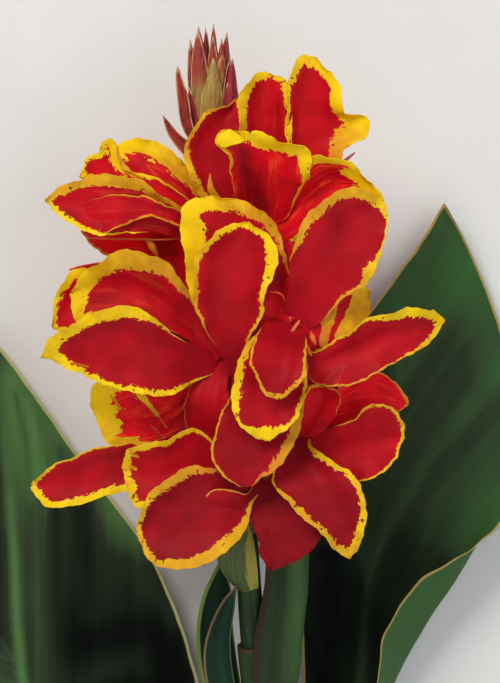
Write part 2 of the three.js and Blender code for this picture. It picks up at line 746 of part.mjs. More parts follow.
// The room that the stem takes, with the seat gap round it.
const stemRoom = stemBar({ fromY: CUT_END, toY: STEM_TIP, grow: SEAT_GAP, steps: STEM_STEPS });

function seatedOnStem(solid) {
  return wholeBody(solid.subtract(stemRoom));
}

// ---- Flowers ----

// A petal's rails with their roots: side by side across the throat, or all at its middle.
function petalRails(throat, petal) {
  const away = vector(petal.middle[0]).sub(vector(throat)).setZ(0).normalize();
  const half = petal.narrow ? 0 : CLAW_HALF_WIDTH;
  const root = (way) => [throat[0] - way * away.y * half, throat[1] + way * away.x * half, throat[2]];
  return [[petal.left, 1], [petal.middle, 0], [petal.right, -1]].map(([rail, way]) => [
    root(way), ...rail, petal.tip,
  ]);
}

function petalSolid(throat, petal) {
  return bladeSolid({
    rails: petalRails(throat, petal),
    rows: petal.narrow ? NARROW_ROWS : PETAL_ROWS,
    columns: evenShares(petal.narrow ? 2 : 4),
    thickness: PETAL_THICKNESS,
    wave: petal.narrow ? 0 : PETAL_WAVE,
    waveLength: PETAL_WAVE_LENGTH,
    phase: petal.tip[0],
    arch: petal.narrow ? 0 : PETAL_ARCH * Math.sign(petal.tip[2] - HEAD_MIDDLE),
  });
}

// Where a flower's foot sits on the stem, and the way from there to its throat.
function flowerAxis(flower) {
  const node = vector(flower.node);
  const throat = vector(flower.throat);
  const direction = throat.clone().sub(node).normalize();
  const depth = (stemRadiusAt(node.y) + SEAT_GAP) / Math.hypot(direction.x, direction.z);
  return { foot: node.addScaledVector(direction, depth), direction, throat };
}

function flowerSolid(flower) {
  const { foot, direction, throat } = flowerAxis(flower);
  const start = foot.clone().addScaledVector(direction, OVARY_LENGTH + SEAT_GAP);
  const end = throat.clone().addScaledVector(direction, THROAT_LENGTH);
  const radii = [[0, TUBE_RADIUS], [1, THROAT_RADIUS]];
  const tube = barSolid({ curve: new THREE.LineCurve3(start, end), radii, steps: 2, sides: 8 });
  return fuse([tube, ...flower.petals.map((petal) => petalSolid(flower.throat, petal))]);
}

// The ovary on the stem, and the narrow green petals that rise from its top round the tube.
function calyxSolid(flower) {
  const { foot, direction, throat } = flowerAxis(flower);
  const top = foot.clone().addScaledVector(direction, OVARY_LENGTH);
  const curve = new THREE.LineCurve3(foot, top);
  const ovary = barSolid({ curve, radii: OVARY_RADII, steps: 4, sides: 8 });
  const reach = throat.distanceTo(top) * GREEN_PETAL_REACH;
  const angles = [0, 1, 2].map((k) => GREEN_PETAL_START + (2 * Math.PI * k) / 3);
  return seatedOnStem(fuse([ovary, ...angles.map((angle) => greenPetal(top, direction, reach, angle))]));
}

function greenPetal(base, direction, reach, angle) {
  const side = direction.clone().cross(new THREE.Vector3(0, 0, 1)).normalize();
  const out = side.clone().applyAxisAngle(direction, angle);
  const across = direction.clone().cross(out);
  const at = (along, lift, sideways) => {
    const point = base.clone().addScaledVector(direction, along).addScaledVector(out, lift);
    return point.addScaledVector(across, sideways).toArray();
  };
  const rail = (sideways, drop) => [
    at(-2, 2.4, 0),
    at(reach * 0.25, 3.4 - drop, sideways * 0.8),
    at(reach * 0.6, 4.6 - drop, sideways),
    at(reach, THROAT_RADIUS + GREEN_PETAL_STANDOFF, 0),
  ];
  const half = GREEN_PETAL_WIDTH / 2;
  return bladeSolid({
    rails: [rail(-half, 0.8), rail(0, 0), rail(half, 0.8)],
    rows: GREEN_PETAL_ROWS,
    columns: evenShares(2),
    thickness: GREEN_THICKNESS,
  });
}

// ---- Leaves, bracts and buds ----

function leafSolid(leaf) {
  const [fromY, toY] = leaf.sheath;
  const grow = SHEATH_THICKNESS + SEAT_GAP;
  const sheath = stemBar({ fromY, toY, grow, steps: SHEATH_STEPS, floor: FLOOR });
  const blade = bladeSolid({
    rails: leaf.rails.map((rail) => [...rail, leaf.tip]),
    rows: LEAF_ROWS,
    columns: evenShares(LEAF_COLUMNS),
    thickness: LEAF_THICKNESS,
    wave: LEAF_WAVE,
    waveLength: LEAF_WAVE_LENGTH,
    phase: leaf.tip[1],
    rib: MIDRIB_DEPTH,
    ribAt: 1 / (leaf.rails.length - 1),
    floor: FLOOR,
  });
  return seatedOnStem(sheath.add(blade));
}

function bractSolid(bract) {
  return seatedOnStem(
    bladeSolid({
      rails: bract.rails.map((rail) => [...rail, bract.tip]),
      rows: BRACT_ROWS,
      columns: evenShares(4),
      thickness: GREEN_THICKNESS,
    }),
  );
}

function budSolid([root, tip, radius]) {
  const curve = new THREE.LineCurve3(vector(root), vector(tip));
  const radii = BUD_PROFILE.map(([share, width]) => [share, radius * width]);
  return barSolid({ curve, radii, steps: 3, sides: 6 });
}

function budBract({ root, left, middle, right, tip }) {
  return bladeSolid({
    rails: [left, middle, right].map((rail) => [root, ...rail, tip]),
    rows: NARROW_ROWS,
    columns: evenShares(2),
    thickness: GREEN_THICKNESS,
  });
}

// ---- Assembly ----
const shoot = new THREE.Group();

function place(name, look, solid) {
  const { vertProperties, triVerts } = solid.getMesh();
  const geometry = new THREE.BufferGeometry();
  geometry.setAttribute("position", new THREE.BufferAttribute(vertProperties, 3));
  geometry.setIndex(new THREE.BufferAttribute(triVerts, 1));
  geometry.computeVertexNormals();
  const mesh = new THREE.Mesh(geometry, new THREE.MeshStandardMaterial(LOOKS[look]));
  mesh.name = name;
  shoot.add(mesh);
}

place("stem", "stem", stemBar({ fromY: CUT_END, toY: STEM_TIP, grow: 0, steps: STEM_STEPS }));
for (const [name, flower] of Object.entries(FLOWERS)) {
  place(`flower_${name}`, "petal", flowerSolid(flower));
  place(`calyx_${name}`, "calyx", calyxSolid(flower));
}
for (const [name, leaf] of Object.entries(LEAVES)) place(name, "leaf", leafSolid(leaf));
for (const [name, bract] of Object.entries(BRACTS)) place(name, bract.look, bractSolid(bract));
place("buds", "bud", seatedOnStem(fuse([...BUDS.map(budSolid), ...BUD_BRACTS.map(budBract)])));

export default shoot;
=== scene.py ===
"""The looks of a cut flowering canna lily shoot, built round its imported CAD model.

Lengths are millimetres, as in the part's own source, and become metres where a mesh is made. A blade is
a petal, leaf or bract: a sheet lofted through a few rails that run from its root to its tip.
"""
import math
from typing import NamedTuple

import bpy
import numpy as np
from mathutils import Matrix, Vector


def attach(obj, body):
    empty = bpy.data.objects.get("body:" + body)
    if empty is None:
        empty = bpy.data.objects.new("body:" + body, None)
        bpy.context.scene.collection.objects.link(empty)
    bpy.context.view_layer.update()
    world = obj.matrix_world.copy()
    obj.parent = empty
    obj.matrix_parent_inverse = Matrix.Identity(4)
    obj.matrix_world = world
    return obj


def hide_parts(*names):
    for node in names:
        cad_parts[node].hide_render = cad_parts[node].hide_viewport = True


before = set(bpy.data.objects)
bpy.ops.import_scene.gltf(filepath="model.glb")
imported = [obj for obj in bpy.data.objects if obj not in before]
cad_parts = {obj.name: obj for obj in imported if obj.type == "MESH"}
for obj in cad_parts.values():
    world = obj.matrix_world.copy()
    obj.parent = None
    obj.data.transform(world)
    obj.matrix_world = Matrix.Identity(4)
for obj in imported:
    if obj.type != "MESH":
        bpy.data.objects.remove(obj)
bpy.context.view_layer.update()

MM = 0.001
SEED = 7
TURN = 2 * math.pi

# ---- The view: the camera looks straight down on the shoot, with the stem upright in the picture ----
PICTURE_SIZE = (500, 683)
VIEW_PLANE = 90  # height at which one pixel is PIXEL wide
PIXEL = 0.45
CAMERA_HEIGHT = 1590
PICTURE_MIDDLE = 412.3  # the Y under the camera
SENSOR = 36

# ---- The part's own dimensions ----
SEAT_GAP = 0.3
PETAL_THICKNESS = 0.9
GREEN_THICKNESS = 0.8
LEAF_THICKNESS = 1.1
SHEATH_THICKNESS = 1.6
MIDRIB_DEPTH = 2.2
PETAL_WAVE = 1.3
PETAL_WAVE_LENGTH = 17
PETAL_ARCH = 8
LEAF_WAVE = 2.5
LEAF_WAVE_LENGTH = 95
THROAT_RADIUS = 4
TUBE_RADIUS = 2.2
CLAW_HALF_WIDTH = 4.5
OVARY_LENGTH = 10
OVARY_RADIUS = 4.3
GREEN_PETAL_REACH = 0.7
GREEN_PETAL_WIDTH = 7
GREEN_PETAL_START = -1.8
GREEN_PETAL_STANDOFF = 2.6
HEAD_MIDDLE = 60  # height of the flower head's middle
EDGE_POWER = 3  # how fast a blade's waves grow towards its edges
CALM_SHARE = 0.4  # of a blade's length, over which its waves grow
SIDE_LAG = 1.9  # of the right edge's waves behind the left edge's
OVARY_RADII = [(0, 2.2), (0.3, OVARY_RADIUS), (0.7, OVARY_RADIUS * 0.9), (1, TUBE_RADIUS + 0.8)]
BUD_PROFILE = [(0, 0.5), (0.35, 1), (0.6, 0.9), (0.85, 0.45), (1, 0.05)]

# The stem's axis and radius, from its cut end to its top: [x, y, z, radius].
STEM = [
    [0, -60, 9.6, 8.5],
    [0, 0, 9.6, 8.4],
    [1, 60, 9.6, 8.2],
    [3, 120, 13, 7.8],
    [6, 180, 23, 7.4],
    [6, 235, 36, 6.8],
    [1, 280, 47, 5.8],
    [-2, 330, 56, 5.2],
    [-4, 390, 61, 4.6],
    [-8, 450, 64, 4.0],
    [-17, 508, 66, 3.4],
]

# Where each flower leaves the stem's axis, and its throat, where its petals part.
FLOWERS = {
    "top": ((-5, 432, 62), (4, 459, 80)),
    "upper_left": ((-7, 440, 63), (-20, 464, 72)),
    "left": ((-4, 382, 58), (-15, 403, 80)),
    "centre": ((-3, 366, 57), (-5, 397, 88)),
    "right": ((-3, 396, 60), (18, 421, 96)),
    "lower_right": ((-2, 346, 55), (23, 369, 76)),
    "bottom": ((-1, 320, 51), (2, 348, 84)),
    "back_left": ((-3, 370, 60), (-24, 396, 33)),
    "back_right": ((-4, 402, 61), (20, 424, 37)),
    "back_bottom": ((-1, 332, 56), (-3, 356, 33)),
}


class Petal(NamedTuple):
    """A petal of a flower: three rails from the throat to its tip, left and right as seen along it."""

    flower: str
    tip: tuple
    left: list
    middle: list
    right: list
    root: tuple = None  # where it starts, if not at the throat
    narrow: bool = False  # whether it starts as one point, and lies flat
    margins: tuple = ((0, 0), (0, 0))  # its yellow's width from root to tip: by the left edge, by the right
    # a deeper ochre is partly the margin's own colour where it rolls or folds, partly painted shade where it
    # lies in shade
    ochre: tuple = (0, 0)  # of that yellow: 0 bright, 1 ochre, 1.5 orange, 2.5 pink and 3.5 maroon
    # tone brightens or darkens the red: painted light where a petal lies in the shade of others, painted
    # shade where less light reaches it
    tone: float = 1.0  # of its red
    flame: float = 0.0  # of yellow running into the red
    veined: float = 0.0  # how much its veins show
    gold: list = ()  # strokes of yellow in its red, each (line of X and Y, reach, ochre)
    shade: list = ()  # strokes of light and shade, each (line of X and Y, reach, tone)


PETALS = [
    Petal(
        "top", (-5, 522, 88),
        [(-20, 474, 76), (-29, 492, 82), (-28, 504, 86), (-19, 515, 90), (-11, 519, 90)],
        [(-11, 477, 77), (-16, 495, 79), (-13, 510, 84)],
        [(-5, 481, 79), (-4, 499, 85), (-4, 513, 88)],
        margins=((0, 3, 4, 3, 1.6, 1.4, 1.4), (0, 0, 0, 0.4, 1.2)), ochre=(0.6, 0.3), tone=0.97,
    ),
    Petal(
        "top", (8, 533, 97),
        [(-3, 479, 82), (-5, 499, 88), (-5, 512, 95), (-4, 523, 99), (0, 530, 100)],
        [(5, 483, 79), (6, 508, 83), (7, 523, 90)],
        [(15, 481, 80), (19, 502, 86), (18, 516, 93), (15, 529, 98)],
        margins=((0.2, 1, 3, 5, 5.4, 3.8, 3.2), (0.2, 1.2, 1.4, 1.8, 2.2, 2.8)),
        ochre=((1, 0.9, 0.4, 0.2), 0.3), tone=1.17, flame=1.5, veined=0.2,
    ),
    Petal(
        "top", (30, 540, 98),
        [(13, 479, 80), (16, 499, 86), (16, 516, 92), (17, 529, 97), (22, 539, 100)],
        [(17, 476, 78), (26, 499, 81), (28, 517, 86), (30, 530, 93)],
        [(25, 474, 80), (40, 491, 86), (43, 500, 90), (52, 503, 89), (53, 511, 92), (44, 514, 95),
         (39, 528, 98)],
        margins=((0.2, 0.8, 1.2, 1.4, 1.6, 3.4, 5), (0, 0, 2, 4, 9, 11, 8, 5, 5.5)),
        ochre=(0.3, (1.3, 1.3, 1.3, 1.2, 0.3, 0.1, 0.1, 0.1)), tone=1.18,
    ),
    Petal(
        "top", (0, 505, 115),
        [(-2, 467, 83), (-7, 476, 88), (-8, 485, 98), (-10, 495, 106), (-15, 500, 112), (-12, 506, 114)],
        [(5, 470, 82), (4, 479, 85), (4, 489, 92), (4, 498, 104)],
        [(16, 466, 84), (24, 476, 92), (27, 487, 102), (26, 496, 110), (15, 501, 114)],
        margins=((0, 0.5, 0.6, 0.7, 1.6, 7, 6), (0, 0, 0, 0, 2.5, 11, 12, 9)),
        ochre=((1.3, 1.3, 1.2, 0.9, 0.1, 0), (0.4, 0.3, 0.2, 0.1)), tone=1.55, flame=5, veined=0.8,
        gold=[([(23.3, 497.2), (24.2, 491), (25.1, 483.8)], 2.5, 0.1)],
        shade=[
            ([(-2.7, 493.6), (-0.4, 483.8), (4.5, 473)], 4.5, 0.42), ([(0.9, 483.8), (6.3, 471.2)], 4, 0.5),
            ([(6.3, 495.4), (17, 488.3)], 6.3, 1.3),
        ],
    ),
    Petal(
        "top", (60, 474, 106),
        [(17, 469, 88), (22, 482, 99), (28, 495, 108), (38, 493, 111), (49, 488, 110), (56, 480, 108)],
        [(15, 466, 84), (25, 477, 92), (38, 485, 99), (50, 482, 105)],
        [(17, 458, 84), (27, 464, 92), (37, 472, 98), (50, 474, 102)],
        margins=((0, 0, 0.5, 2.6, 5, 6, 8, 9.5), (0, 0, 1, 4, 8, 8)), ochre=(0.1, (1.2, 1, 0.3)), tone=1.7,
        flame=5, veined=1.2,
    ),
    Petal(
        "top", (5, 408, 92),
        [(21, 455, 84), (23, 440, 89), (20, 423, 91)],
        [(13, 453, 84), (14, 436, 88)],
        [(5, 451, 83), (3, 436, 87), (0, 421, 92)],
        tone=1.5,
    ),
    Petal(
        "top", (-15, 501, 117),
        [(-4, 500, 118), (-8, 499, 118), (-12, 498, 117)],
        [(-5, 502, 118), (-11, 502, 119)],
        [(-4, 503, 118), (-7, 505, 118), (-9, 506, 119), (-13, 504, 118)],
        root=(-2, 502, 116), narrow=True, margins=((9, 9), (9, 9)), ochre=(-0.2, -0.2),
    ),
    Petal(
        "top", (-18, 488, 93),
        [(-14, 474, 86), (-19, 480, 91)],
        [(-12, 473, 86), (-18, 481, 92)],
        [(-9, 473, 86), (-16, 481, 91)],
        narrow=True, margins=((9, 9), (9, 9)), ochre=(1.1, 1.1),
    ),
    Petal(
        "upper_left", (-62, 499, 86),
        [(-27, 473, 74), (-37, 479, 79), (-48, 484, 82), (-58, 490, 84)],
        [(-24, 474, 72), (-33, 487, 76), (-45, 495, 82)],
        [(-21, 480, 74), (-29, 492, 77), (-38, 500, 82), (-51, 504, 86)],
        margins=((0, 0, 0, 0, 1.5, 6), (0, 3, 7.5, 9, 8, 8)), ochre=(0.1, (0.9, 0.75, 0.3, 0.1)), tone=1.25,
        flame=3, veined=0.6,
        gold=[([(-38.1, 481.8), (-33.5, 475)], 0.7, 1.3), ([(-46.2, 491.3), (-39, 483.6)], 0.5, 1.6)],
    ),
    Petal(
        "upper_left", (-77, 486, 88),
        [(-27, 466, 80), (-41, 476, 85), (-54, 482, 88), (-68, 484, 89)],
        [(-26, 471, 77), (-41, 481, 82), (-56, 488, 86), (-68, 491, 89)],
        [(-24, 473, 77), (-38, 484, 83), (-57, 491, 88), (-62, 503, 93), (-66, 502, 94), (-67, 498, 91),
         (-73, 495, 90)],
        margins=((0, 0, 0.5, 2, 3), (0, 0.4, 0.8, 1.6, 3.4, 3.4, 2.2, 2)), ochre=(0.4, 0.1), tone=1.25,
    ),
    Petal(
        "upper_left", (-93, 476, 84),
        [(-27, 458, 80), (-41, 461, 85), (-54, 461, 87), (-69, 460, 89), (-86, 469, 87)],
        [(-28, 466, 82), (-45, 473, 87), (-63, 475, 89), (-81, 477, 88)],
        [(-27, 471, 84), (-37, 476, 90), (-47, 483, 95), (-63, 487, 95), (-85, 482, 89)],
        margins=((0, 0, 0, 0.8, 1.6, 2.6, 3), (0, 1, 3.5, 6, 6, 3.6, 3.4)), ochre=(0.1, 0.75), tone=1.1,
        veined=0.8,
        gold=[([(-67.8, 461.5), (-64.7, 466.4), (-57.5, 469.6)], 0.4, 2)],
    ),
    Petal(
        "upper_left", (-77, 463, 76),
        [(-28, 449, 68), (-27, 432, 65), (-46, 445, 66), (-63, 450, 70), (-72, 456, 73)],
        [(-31, 459, 68), (-46, 456, 69), (-63, 458, 72)],
        [(-27, 463, 72), (-45, 467, 76), (-64, 466, 78)],
        margins=((0, 0, 0, 0.4, 1.1, 1.1), (0, 0, 0.3)), ochre=(0.9, 0.9), tone=2.4, veined=0.4,
        shade=[([(-39.6, 456.7), (-30.9, 441.2)], 7.7, 0.4)],
    ),
    Petal(
        "upper_left", (-83, 445, 72),
        [(-32, 449, 60), (-55, 447, 67), (-77, 444, 71)],
        [(-32, 451, 61), (-55, 449, 68), (-77, 445, 72)],
        [(-32, 452, 60), (-55, 450, 67), (-77, 447, 71)],
        narrow=True, margins=((0.4, 0.4), (0.4, 0.4)), ochre=(1.6, 1.6),
    ),
    Petal(
        "upper_left", (-80, 471, 90),
        [(-29, 463, 88), (-45, 468, 92), (-57, 464, 93), (-69, 461, 90)],
        [(-29, 466, 87), (-45, 471, 92), (-63, 470, 94)],
        [(-28, 469, 88), (-38, 474, 94), (-56, 478, 96), (-70, 476, 93)],
        margins=((0.2, 0.4, 0.9, 0.8, 0.2, 0), (0.2, 0.5, 0.8, 0.6, 0.2, 0)), ochre=(1.15, 0.9), tone=1.12,
        veined=0.35,
    ),
    Petal(
        "left", (-81, 434, 90),
        [(-27, 412, 82), (-45, 420, 86), (-63, 422, 88), (-78, 421, 86)],
        [(-25, 416, 80), (-41, 431, 84), (-61, 438, 88)],
        [(-19, 420, 82), (-25, 431, 87), (-37, 447, 94), (-54, 453, 98), (-72, 445, 96)],
        margins=((0, 0, 0.4, 1.5, 6, 8), (0, 0.6, 2.5, 8, 10.5, 8.5, 8)),
        ochre=(0.2, (1, 0.9, 0.85, 0.6, 0.2)), tone=1.15, veined=0.5,
    ),
    Petal(
        "left", (-90, 418, 82),
        [(-32, 408, 74), (-57, 414, 77), (-77, 416, 80)],
        [(-32, 416, 73), (-59, 428, 76), (-79, 430, 79)],
        [(-30, 424, 75), (-57, 438, 80), (-77, 445, 84), (-86, 437, 84)],
        margins=((0, 0, 1, 1.6, 2), (0, 0, 3, 5, 4.6, 3.4, 2)), ochre=(0.3, (0.4, 0.1)), tone=1.3,
    ),
    Petal(
        "left", (-94, 405, 92),
        [(-25, 394, 84), (-37, 388, 92), (-54, 390, 95), (-70, 395, 95), (-85, 402, 93)],
        [(-25, 402, 84), (-40, 405, 92), (-61, 408, 96), (-78, 409, 97)],
        [(-26, 411, 88), (-35, 416, 97), (-45, 425, 104), (-60, 428, 107), (-75, 422, 105), (-90, 413, 98)],
        margins=((0, 1.4, 2.8, 2.4, 2, 3.4, 8), (0, 0, 0.8, 4.5, 6.5, 5, 5, 8)), ochre=(0.15, 0.3),
        tone=0.97,
        gold=[([(-82.2, 403.6), (-72, 400.9)], 0.5, 0.6)],
        shade=[([(-17, 407.6), (-12.5, 400.5)], 9, 1.1)],
    ),
    Petal(
        "left", (-71, 378, 66),
        [(-23, 388, 72), (-33, 372, 68), (-50, 365, 66), (-64, 365, 65)],
        [(-26, 392, 71), (-46, 383, 67), (-60, 379, 65)],
        [(-28, 398, 74), (-50, 396, 71), (-70, 394, 69), (-73, 386, 67)],
        margins=((0, 0, 0, 1, 9, 11), (0, 0, 0.5, 7, 10, 10)), ochre=((1.3, 1.2, 0.6, 0.2), 0.12), tone=1.9,
        flame=4, veined=0.9,
        gold=[
            ([(-52.9, 392), (-46, 383.8)], 1.4, 0.3), ([(-46, 383.8), (-41.9, 378.8)], 1, 0.6),
            ([(-41.9, 378.8), (-37.8, 373.3)], 0.5, 0.9), ([(-62.4, 387.5), (-58.8, 381.1)], 0.7, 0.9),
            ([(-49.2, 377.9)], 0.8, 2.4), ([(-45.1, 374.2), (-38.7, 368.3)], 0.5, 2.3),
        ],
    ),
    Petal(
        "left", (-17, 357, 71),
        [(-10, 389, 79), (-10, 374, 76)],
        [(-19, 388, 77), (-19, 373, 74)],
        [(-27, 392, 76), (-30, 379, 73), (-26, 367, 72)],
        root=(-13, 412, 73), margins=((0, 0), (0, 0.35, 0.5, 0)), ochre=(0, 1.6), tone=1.1,
    ),
    Petal(
        "centre", (-1, 466, 110),
        [(-13, 407, 93), (-21, 419, 100), (-25, 433, 107), (-24, 448, 111), (-16, 460, 113)],
        [(-6, 411, 92), (-8, 431, 97), (-6, 450, 102)],
        [(-1, 411, 94), (5, 423, 101), (8, 437, 107), (13, 450, 110), (6, 461, 112)],
        margins=((0, 0, 0.6, 2, 2.2, 2.6, 3, 3.4), (0, 0.8, 1.3, 1.9, 3.4, 6.4, 3.2, 3)),
        ochre=((1.3, 1.2, 1.1, 0.9, 0.3, 0.1), (0.7, 0.5, 0.2, 0.1)),
    ),
    Petal(
        "centre", (-18, 478, 97),
        [(-13, 408, 87), (-26, 430, 93), (-29, 448, 96), (-31, 463, 96), (-30, 473, 97)],
        [(-5, 415, 86), (-6, 438, 88), (-8, 460, 90)],
        [(5, 416, 86), (17, 435, 88), (16, 451, 91), (9, 468, 94), (-4, 475, 97)],
        margins=((0, 0, 0.3, 3, 10, 11.5, 9, 7), (0, 0, 0, 0.3, 2, 5, 6.5, 7)),
        ochre=(0.05, (1.3, 1.3, 1.2, 1, 0.8, 0.4)), tone=1.1,
    ),
    Petal(
        "centre", (-13, 379, 80),
        [(-1, 398, 81), (-3, 388, 83)],
        [(-11, 400, 79), (-11, 389, 81)],
        [(-21, 401, 77), (-21, 389, 77)],
        root=(-10, 409, 77), narrow=True, tone=0.84,
    ),
    Petal(
        "right", (60, 474, 112),
        [(17, 435, 101), (18, 449, 107), (24, 466, 113), (36, 477, 117), (49, 480, 116)],
        [(25, 431, 99), (36, 448, 104), (46, 464, 108)],
        [(29, 419, 98), (42, 432, 101), (52, 438, 104), (58, 451, 107), (61, 464, 110)],
        margins=((0, 0, 0, 3, 4.4, 4, 4.6, 5), (0, 0, 0.9, 1.8, 5.4, 0.9, 0.6, 2.5)),
        ochre=((1.2, 1, 0.9, 0.5), (1.2, 1, 0.7, 0.3, 0.1)), tone=0.96,
    ),
    Petal(
        "right", (13, 387, 121),
        [(24, 418, 102), (25, 408, 112), (24, 398, 118), (19, 390, 121)],
        [(15, 411, 105), (13, 400, 112)],
        [(7, 421, 102), (1, 410, 111), (1, 400, 118), (6, 390, 121)],
        margins=((0, 0, 0.9, 1.3, 2.4, 2.6), (0, 0, 0.8, 1.1, 1.2, 2)), ochre=(0.9, 0.9), tone=0.84,
    ),
    Petal(
        "right", (8, 368, 111),
        [(25, 409, 98), (25, 392, 105), (22, 381, 109), (16, 373, 111)],
        [(15, 408, 99), (9, 393, 103), (8, 380, 107)],
        [(0, 413, 97), (-6, 401, 105), (-8, 385, 109), (-4, 374, 111)],
        margins=((0, 0.6, 1.2, 1.8, 1.6, 7), (0.8, 2, 3.6, 4.2, 1, 7)),
        ochre=((0.9, 0.7, 0.4, 0.1), (0.8, 0.3, 0.1)), tone=0.92,
    ),
    Petal(
        "right", (0, 347, 102),
        [(24, 402, 94), (24, 382, 97), (21, 370, 99), (15, 359, 101)],
        [(14, 404, 93), (5, 386, 94), (2, 368, 96)],
        [(6, 408, 93), (-7, 391, 97), (-15, 374, 100), (-17, 362, 103), (-11, 351, 104)],
        margins=((0, 0, 2, 4.4, 4, 0), (0, 0, 0.5, 0.9, 1, 1, 0)), ochre=((1, 1, 1.1, 1.4), 1.1), tone=0.78,
    ),
    Petal(
        "right", (88, 422, 86),
        [(25, 408, 96), (37, 412, 98), (50, 421, 100), (66, 426, 99), (80, 427, 94)],
        [(28, 403, 93), (47, 408, 91), (67, 416, 92)],
        [(29, 394, 93), (45, 393, 94), (65, 403, 93), (81, 412, 90)],
        margins=((0, 0.3, 1.2, 1.6, 3.8, 4.6, 3.6), (0, 0, 0.6, 0.9, 1.1, 3)),
        ochre=((0.9, 0.5, 0.2, 0.1), (1.1, 1, 0.8, 0.2)), tone=1.02,
        gold=[
            ([(43.1, 402.2), (37.2, 398.2), (32.3, 392.8)], 0.4, 1.9),
            ([(43.1, 402.2), (38.6, 393.2)], 0.4, 1.9),
        ],
        shade=[([(40.8, 400.4), (35.9, 393.7)], 1.8, 0.75)],
    ),
    Petal(
        "right", (38, 431, 95),
        [(25, 411, 96), (30, 420, 97), (34, 429, 96)],
        [(28, 411, 97), (35, 420, 98), (37, 428, 97)],
        [(33, 411, 97), (39, 420, 98), (40, 428, 97)],
        narrow=True, margins=((9, 9), (9, 9)), ochre=((1.6, 1.3, 0.7, 0.5), (1.6, 1.3, 0.7, 0.5)), tone=1.2,
    ),
    Petal(
        "right", (54, 435, 90),
        [(29, 426, 93), (40, 436, 91), (48, 440, 90)],
        [(31, 421, 92), (43, 429, 90)],
        [(28, 409, 92), (40, 411, 91), (53, 422, 89)],
        margins=((0, 0, 0, 4, 6), (0, 0, 3, 11, 9)), ochre=(0.4, (1.2, 0.8, 0.6)), tone=1.2,
        gold=[
            ([(50.3, 435.4), (48.9, 428.2), (44.9, 419.3)], 4.3, 0.65),
            ([(36.8, 430.9), (34.6, 421.1)], 2.9, 0.9), ([(34.6, 420.2), (32.8, 411.6)], 2, 1.25),
            ([(42.6, 421.1), (39.5, 414.8)], 1.8, 0.8),
        ],
    ),
    Petal(
        "lower_right", (73, 384, 68),
        [(30, 379, 74), (43, 393, 73), (59, 398, 72), (67, 393, 70)],
        [(32, 377, 72), (50, 385, 68)],
        [(34, 372, 71), (50, 377, 68), (67, 380, 67)],
        margins=((0, 0, 0, 0.3, 0.7, 1.3), (0, 0, 0.3, 0.6)), ochre=(1.2, 1.2), tone=1.8, veined=0.6,
    ),
    Petal(
        "lower_right", (70, 368, 76),
        [(33, 372, 79), (43, 376, 83), (54, 383, 85), (64, 383, 84), (69, 376, 80)],
        [(34, 365, 76), (50, 367, 73), (61, 368, 74)],
        [(33, 359, 74), (45, 349, 73), (57, 351, 75), (65, 358, 76)],
        margins=((0, 0, 0.9, 1.7, 1.6, 1.5), (0, 0, 0, 0.8, 1, 1.5)),
        ochre=((1.2, 0.9, 0.6, 0.2), (0.9, 0.8, 0.2)), tone=1.1,
    ),
    Petal(
        "lower_right", (45, 314, 86),
        [(28, 365, 84), (37, 359, 90), (49, 349, 92), (52, 335, 91), (50, 322, 88)],
        [(23, 361, 83), (32, 347, 87), (42, 331, 87)],
        [(14, 361, 84), (10, 350, 89), (21, 336, 91), (32, 326, 90), (39, 318, 88)],
        margins=((0.4, 2.4, 2.6, 2.2, 3.2, 3.4, 4), (0, 0.2, 1, 2.2, 2.4, 2.8, 4)), ochre=(0.45, 0.75),
        tone=0.68,
    ),
    Petal(
        "lower_right", (32, 393, 88),
        [(23, 378, 81), (23, 386, 85), (26, 391, 88)],
        [(28, 378, 79), (32, 386, 82)],
        [(33, 372, 80), (39, 380, 83), (40, 388, 87)],
        margins=((0, 0, 0.5, 1.6), (0, 0, 0.3, 1)), ochre=(0.9, 1.3), tone=1.4,
    ),
    Petal(
        "bottom", (9, 308, 78),
        [(14, 343, 83), (25, 334, 81), (32, 325, 79), (24, 315, 78)],
        [(7, 341, 81), (15, 325, 78)],
        [(0, 339, 83), (0, 333, 83), (3, 325, 82), (5, 315, 80)],
        tone=0.62,
    ),
    Petal(
        "bottom", (-51, 327, 100),
        [(1, 339, 88), (-2, 328, 94), (-13, 317, 99), (-29, 311, 100), (-44, 314, 101)],
        [(-4, 344, 88), (-20, 339, 94), (-38, 332, 98)],
        [(-4, 352, 91), (-16, 356, 99), (-29, 356, 104), (-40, 349, 106), (-48, 339, 104)],
        margins=((0, 2.5, 5.5, 4.8, 4, 3, 2.4), (0, 0, 2.8, 5.4, 4.2, 2.4, 2.2)),
        ochre=(0.8, (1.3, 1.3, 1.2, 0.9, 0.6, 0.4)), tone=0.68,
    ),
    Petal(
        "bottom", (-58, 354, 79),
        [(-5, 347, 82), (-23, 345, 81), (-39, 342, 80), (-51, 337, 79)],
        [(-6, 353, 81), (-23, 358, 80), (-43, 354, 78)],
        [(-5, 358, 83), (-13, 365, 85), (-26, 373, 87), (-41, 367, 85), (-55, 364, 82)],
        margins=((0, 0, 0.3, 3, 4), (0, 0, 1.8, 2.6, 2.4, 3)), ochre=(0.3, 0.45), tone=1.1,
        gold=[([(-58.7, 363.3), (-50.6, 360.6)], 0.8, 0.9), ([(-56.9, 357), (-51.5, 354.7)], 0.8, 0.9)],
    ),
    Petal(
        "bottom", (-101, 346, 64),
        [(-8, 348, 76), (-32, 344, 68), (-58, 344, 67), (-78, 338, 67), (-93, 337, 66)],
        [(-7, 352, 75), (-32, 353, 66), (-59, 354, 65), (-80, 349, 65)],
        [(-6, 357, 77), (-32, 362, 71), (-59, 366, 70), (-78, 361, 70), (-94, 353, 67)],
        margins=((0, 1, 3.4, 3.6, 3.4, 3), (0, 0, 0.6, 0.7, 0.8, 2)), ochre=(0.15, 0.5), tone=0.95,
    ),
    Petal(
        "bottom", (-22, 340, 102),
        [(-4, 336, 93), (-14, 335, 96)],
        [(-4, 341, 96), (-13, 342, 102)],
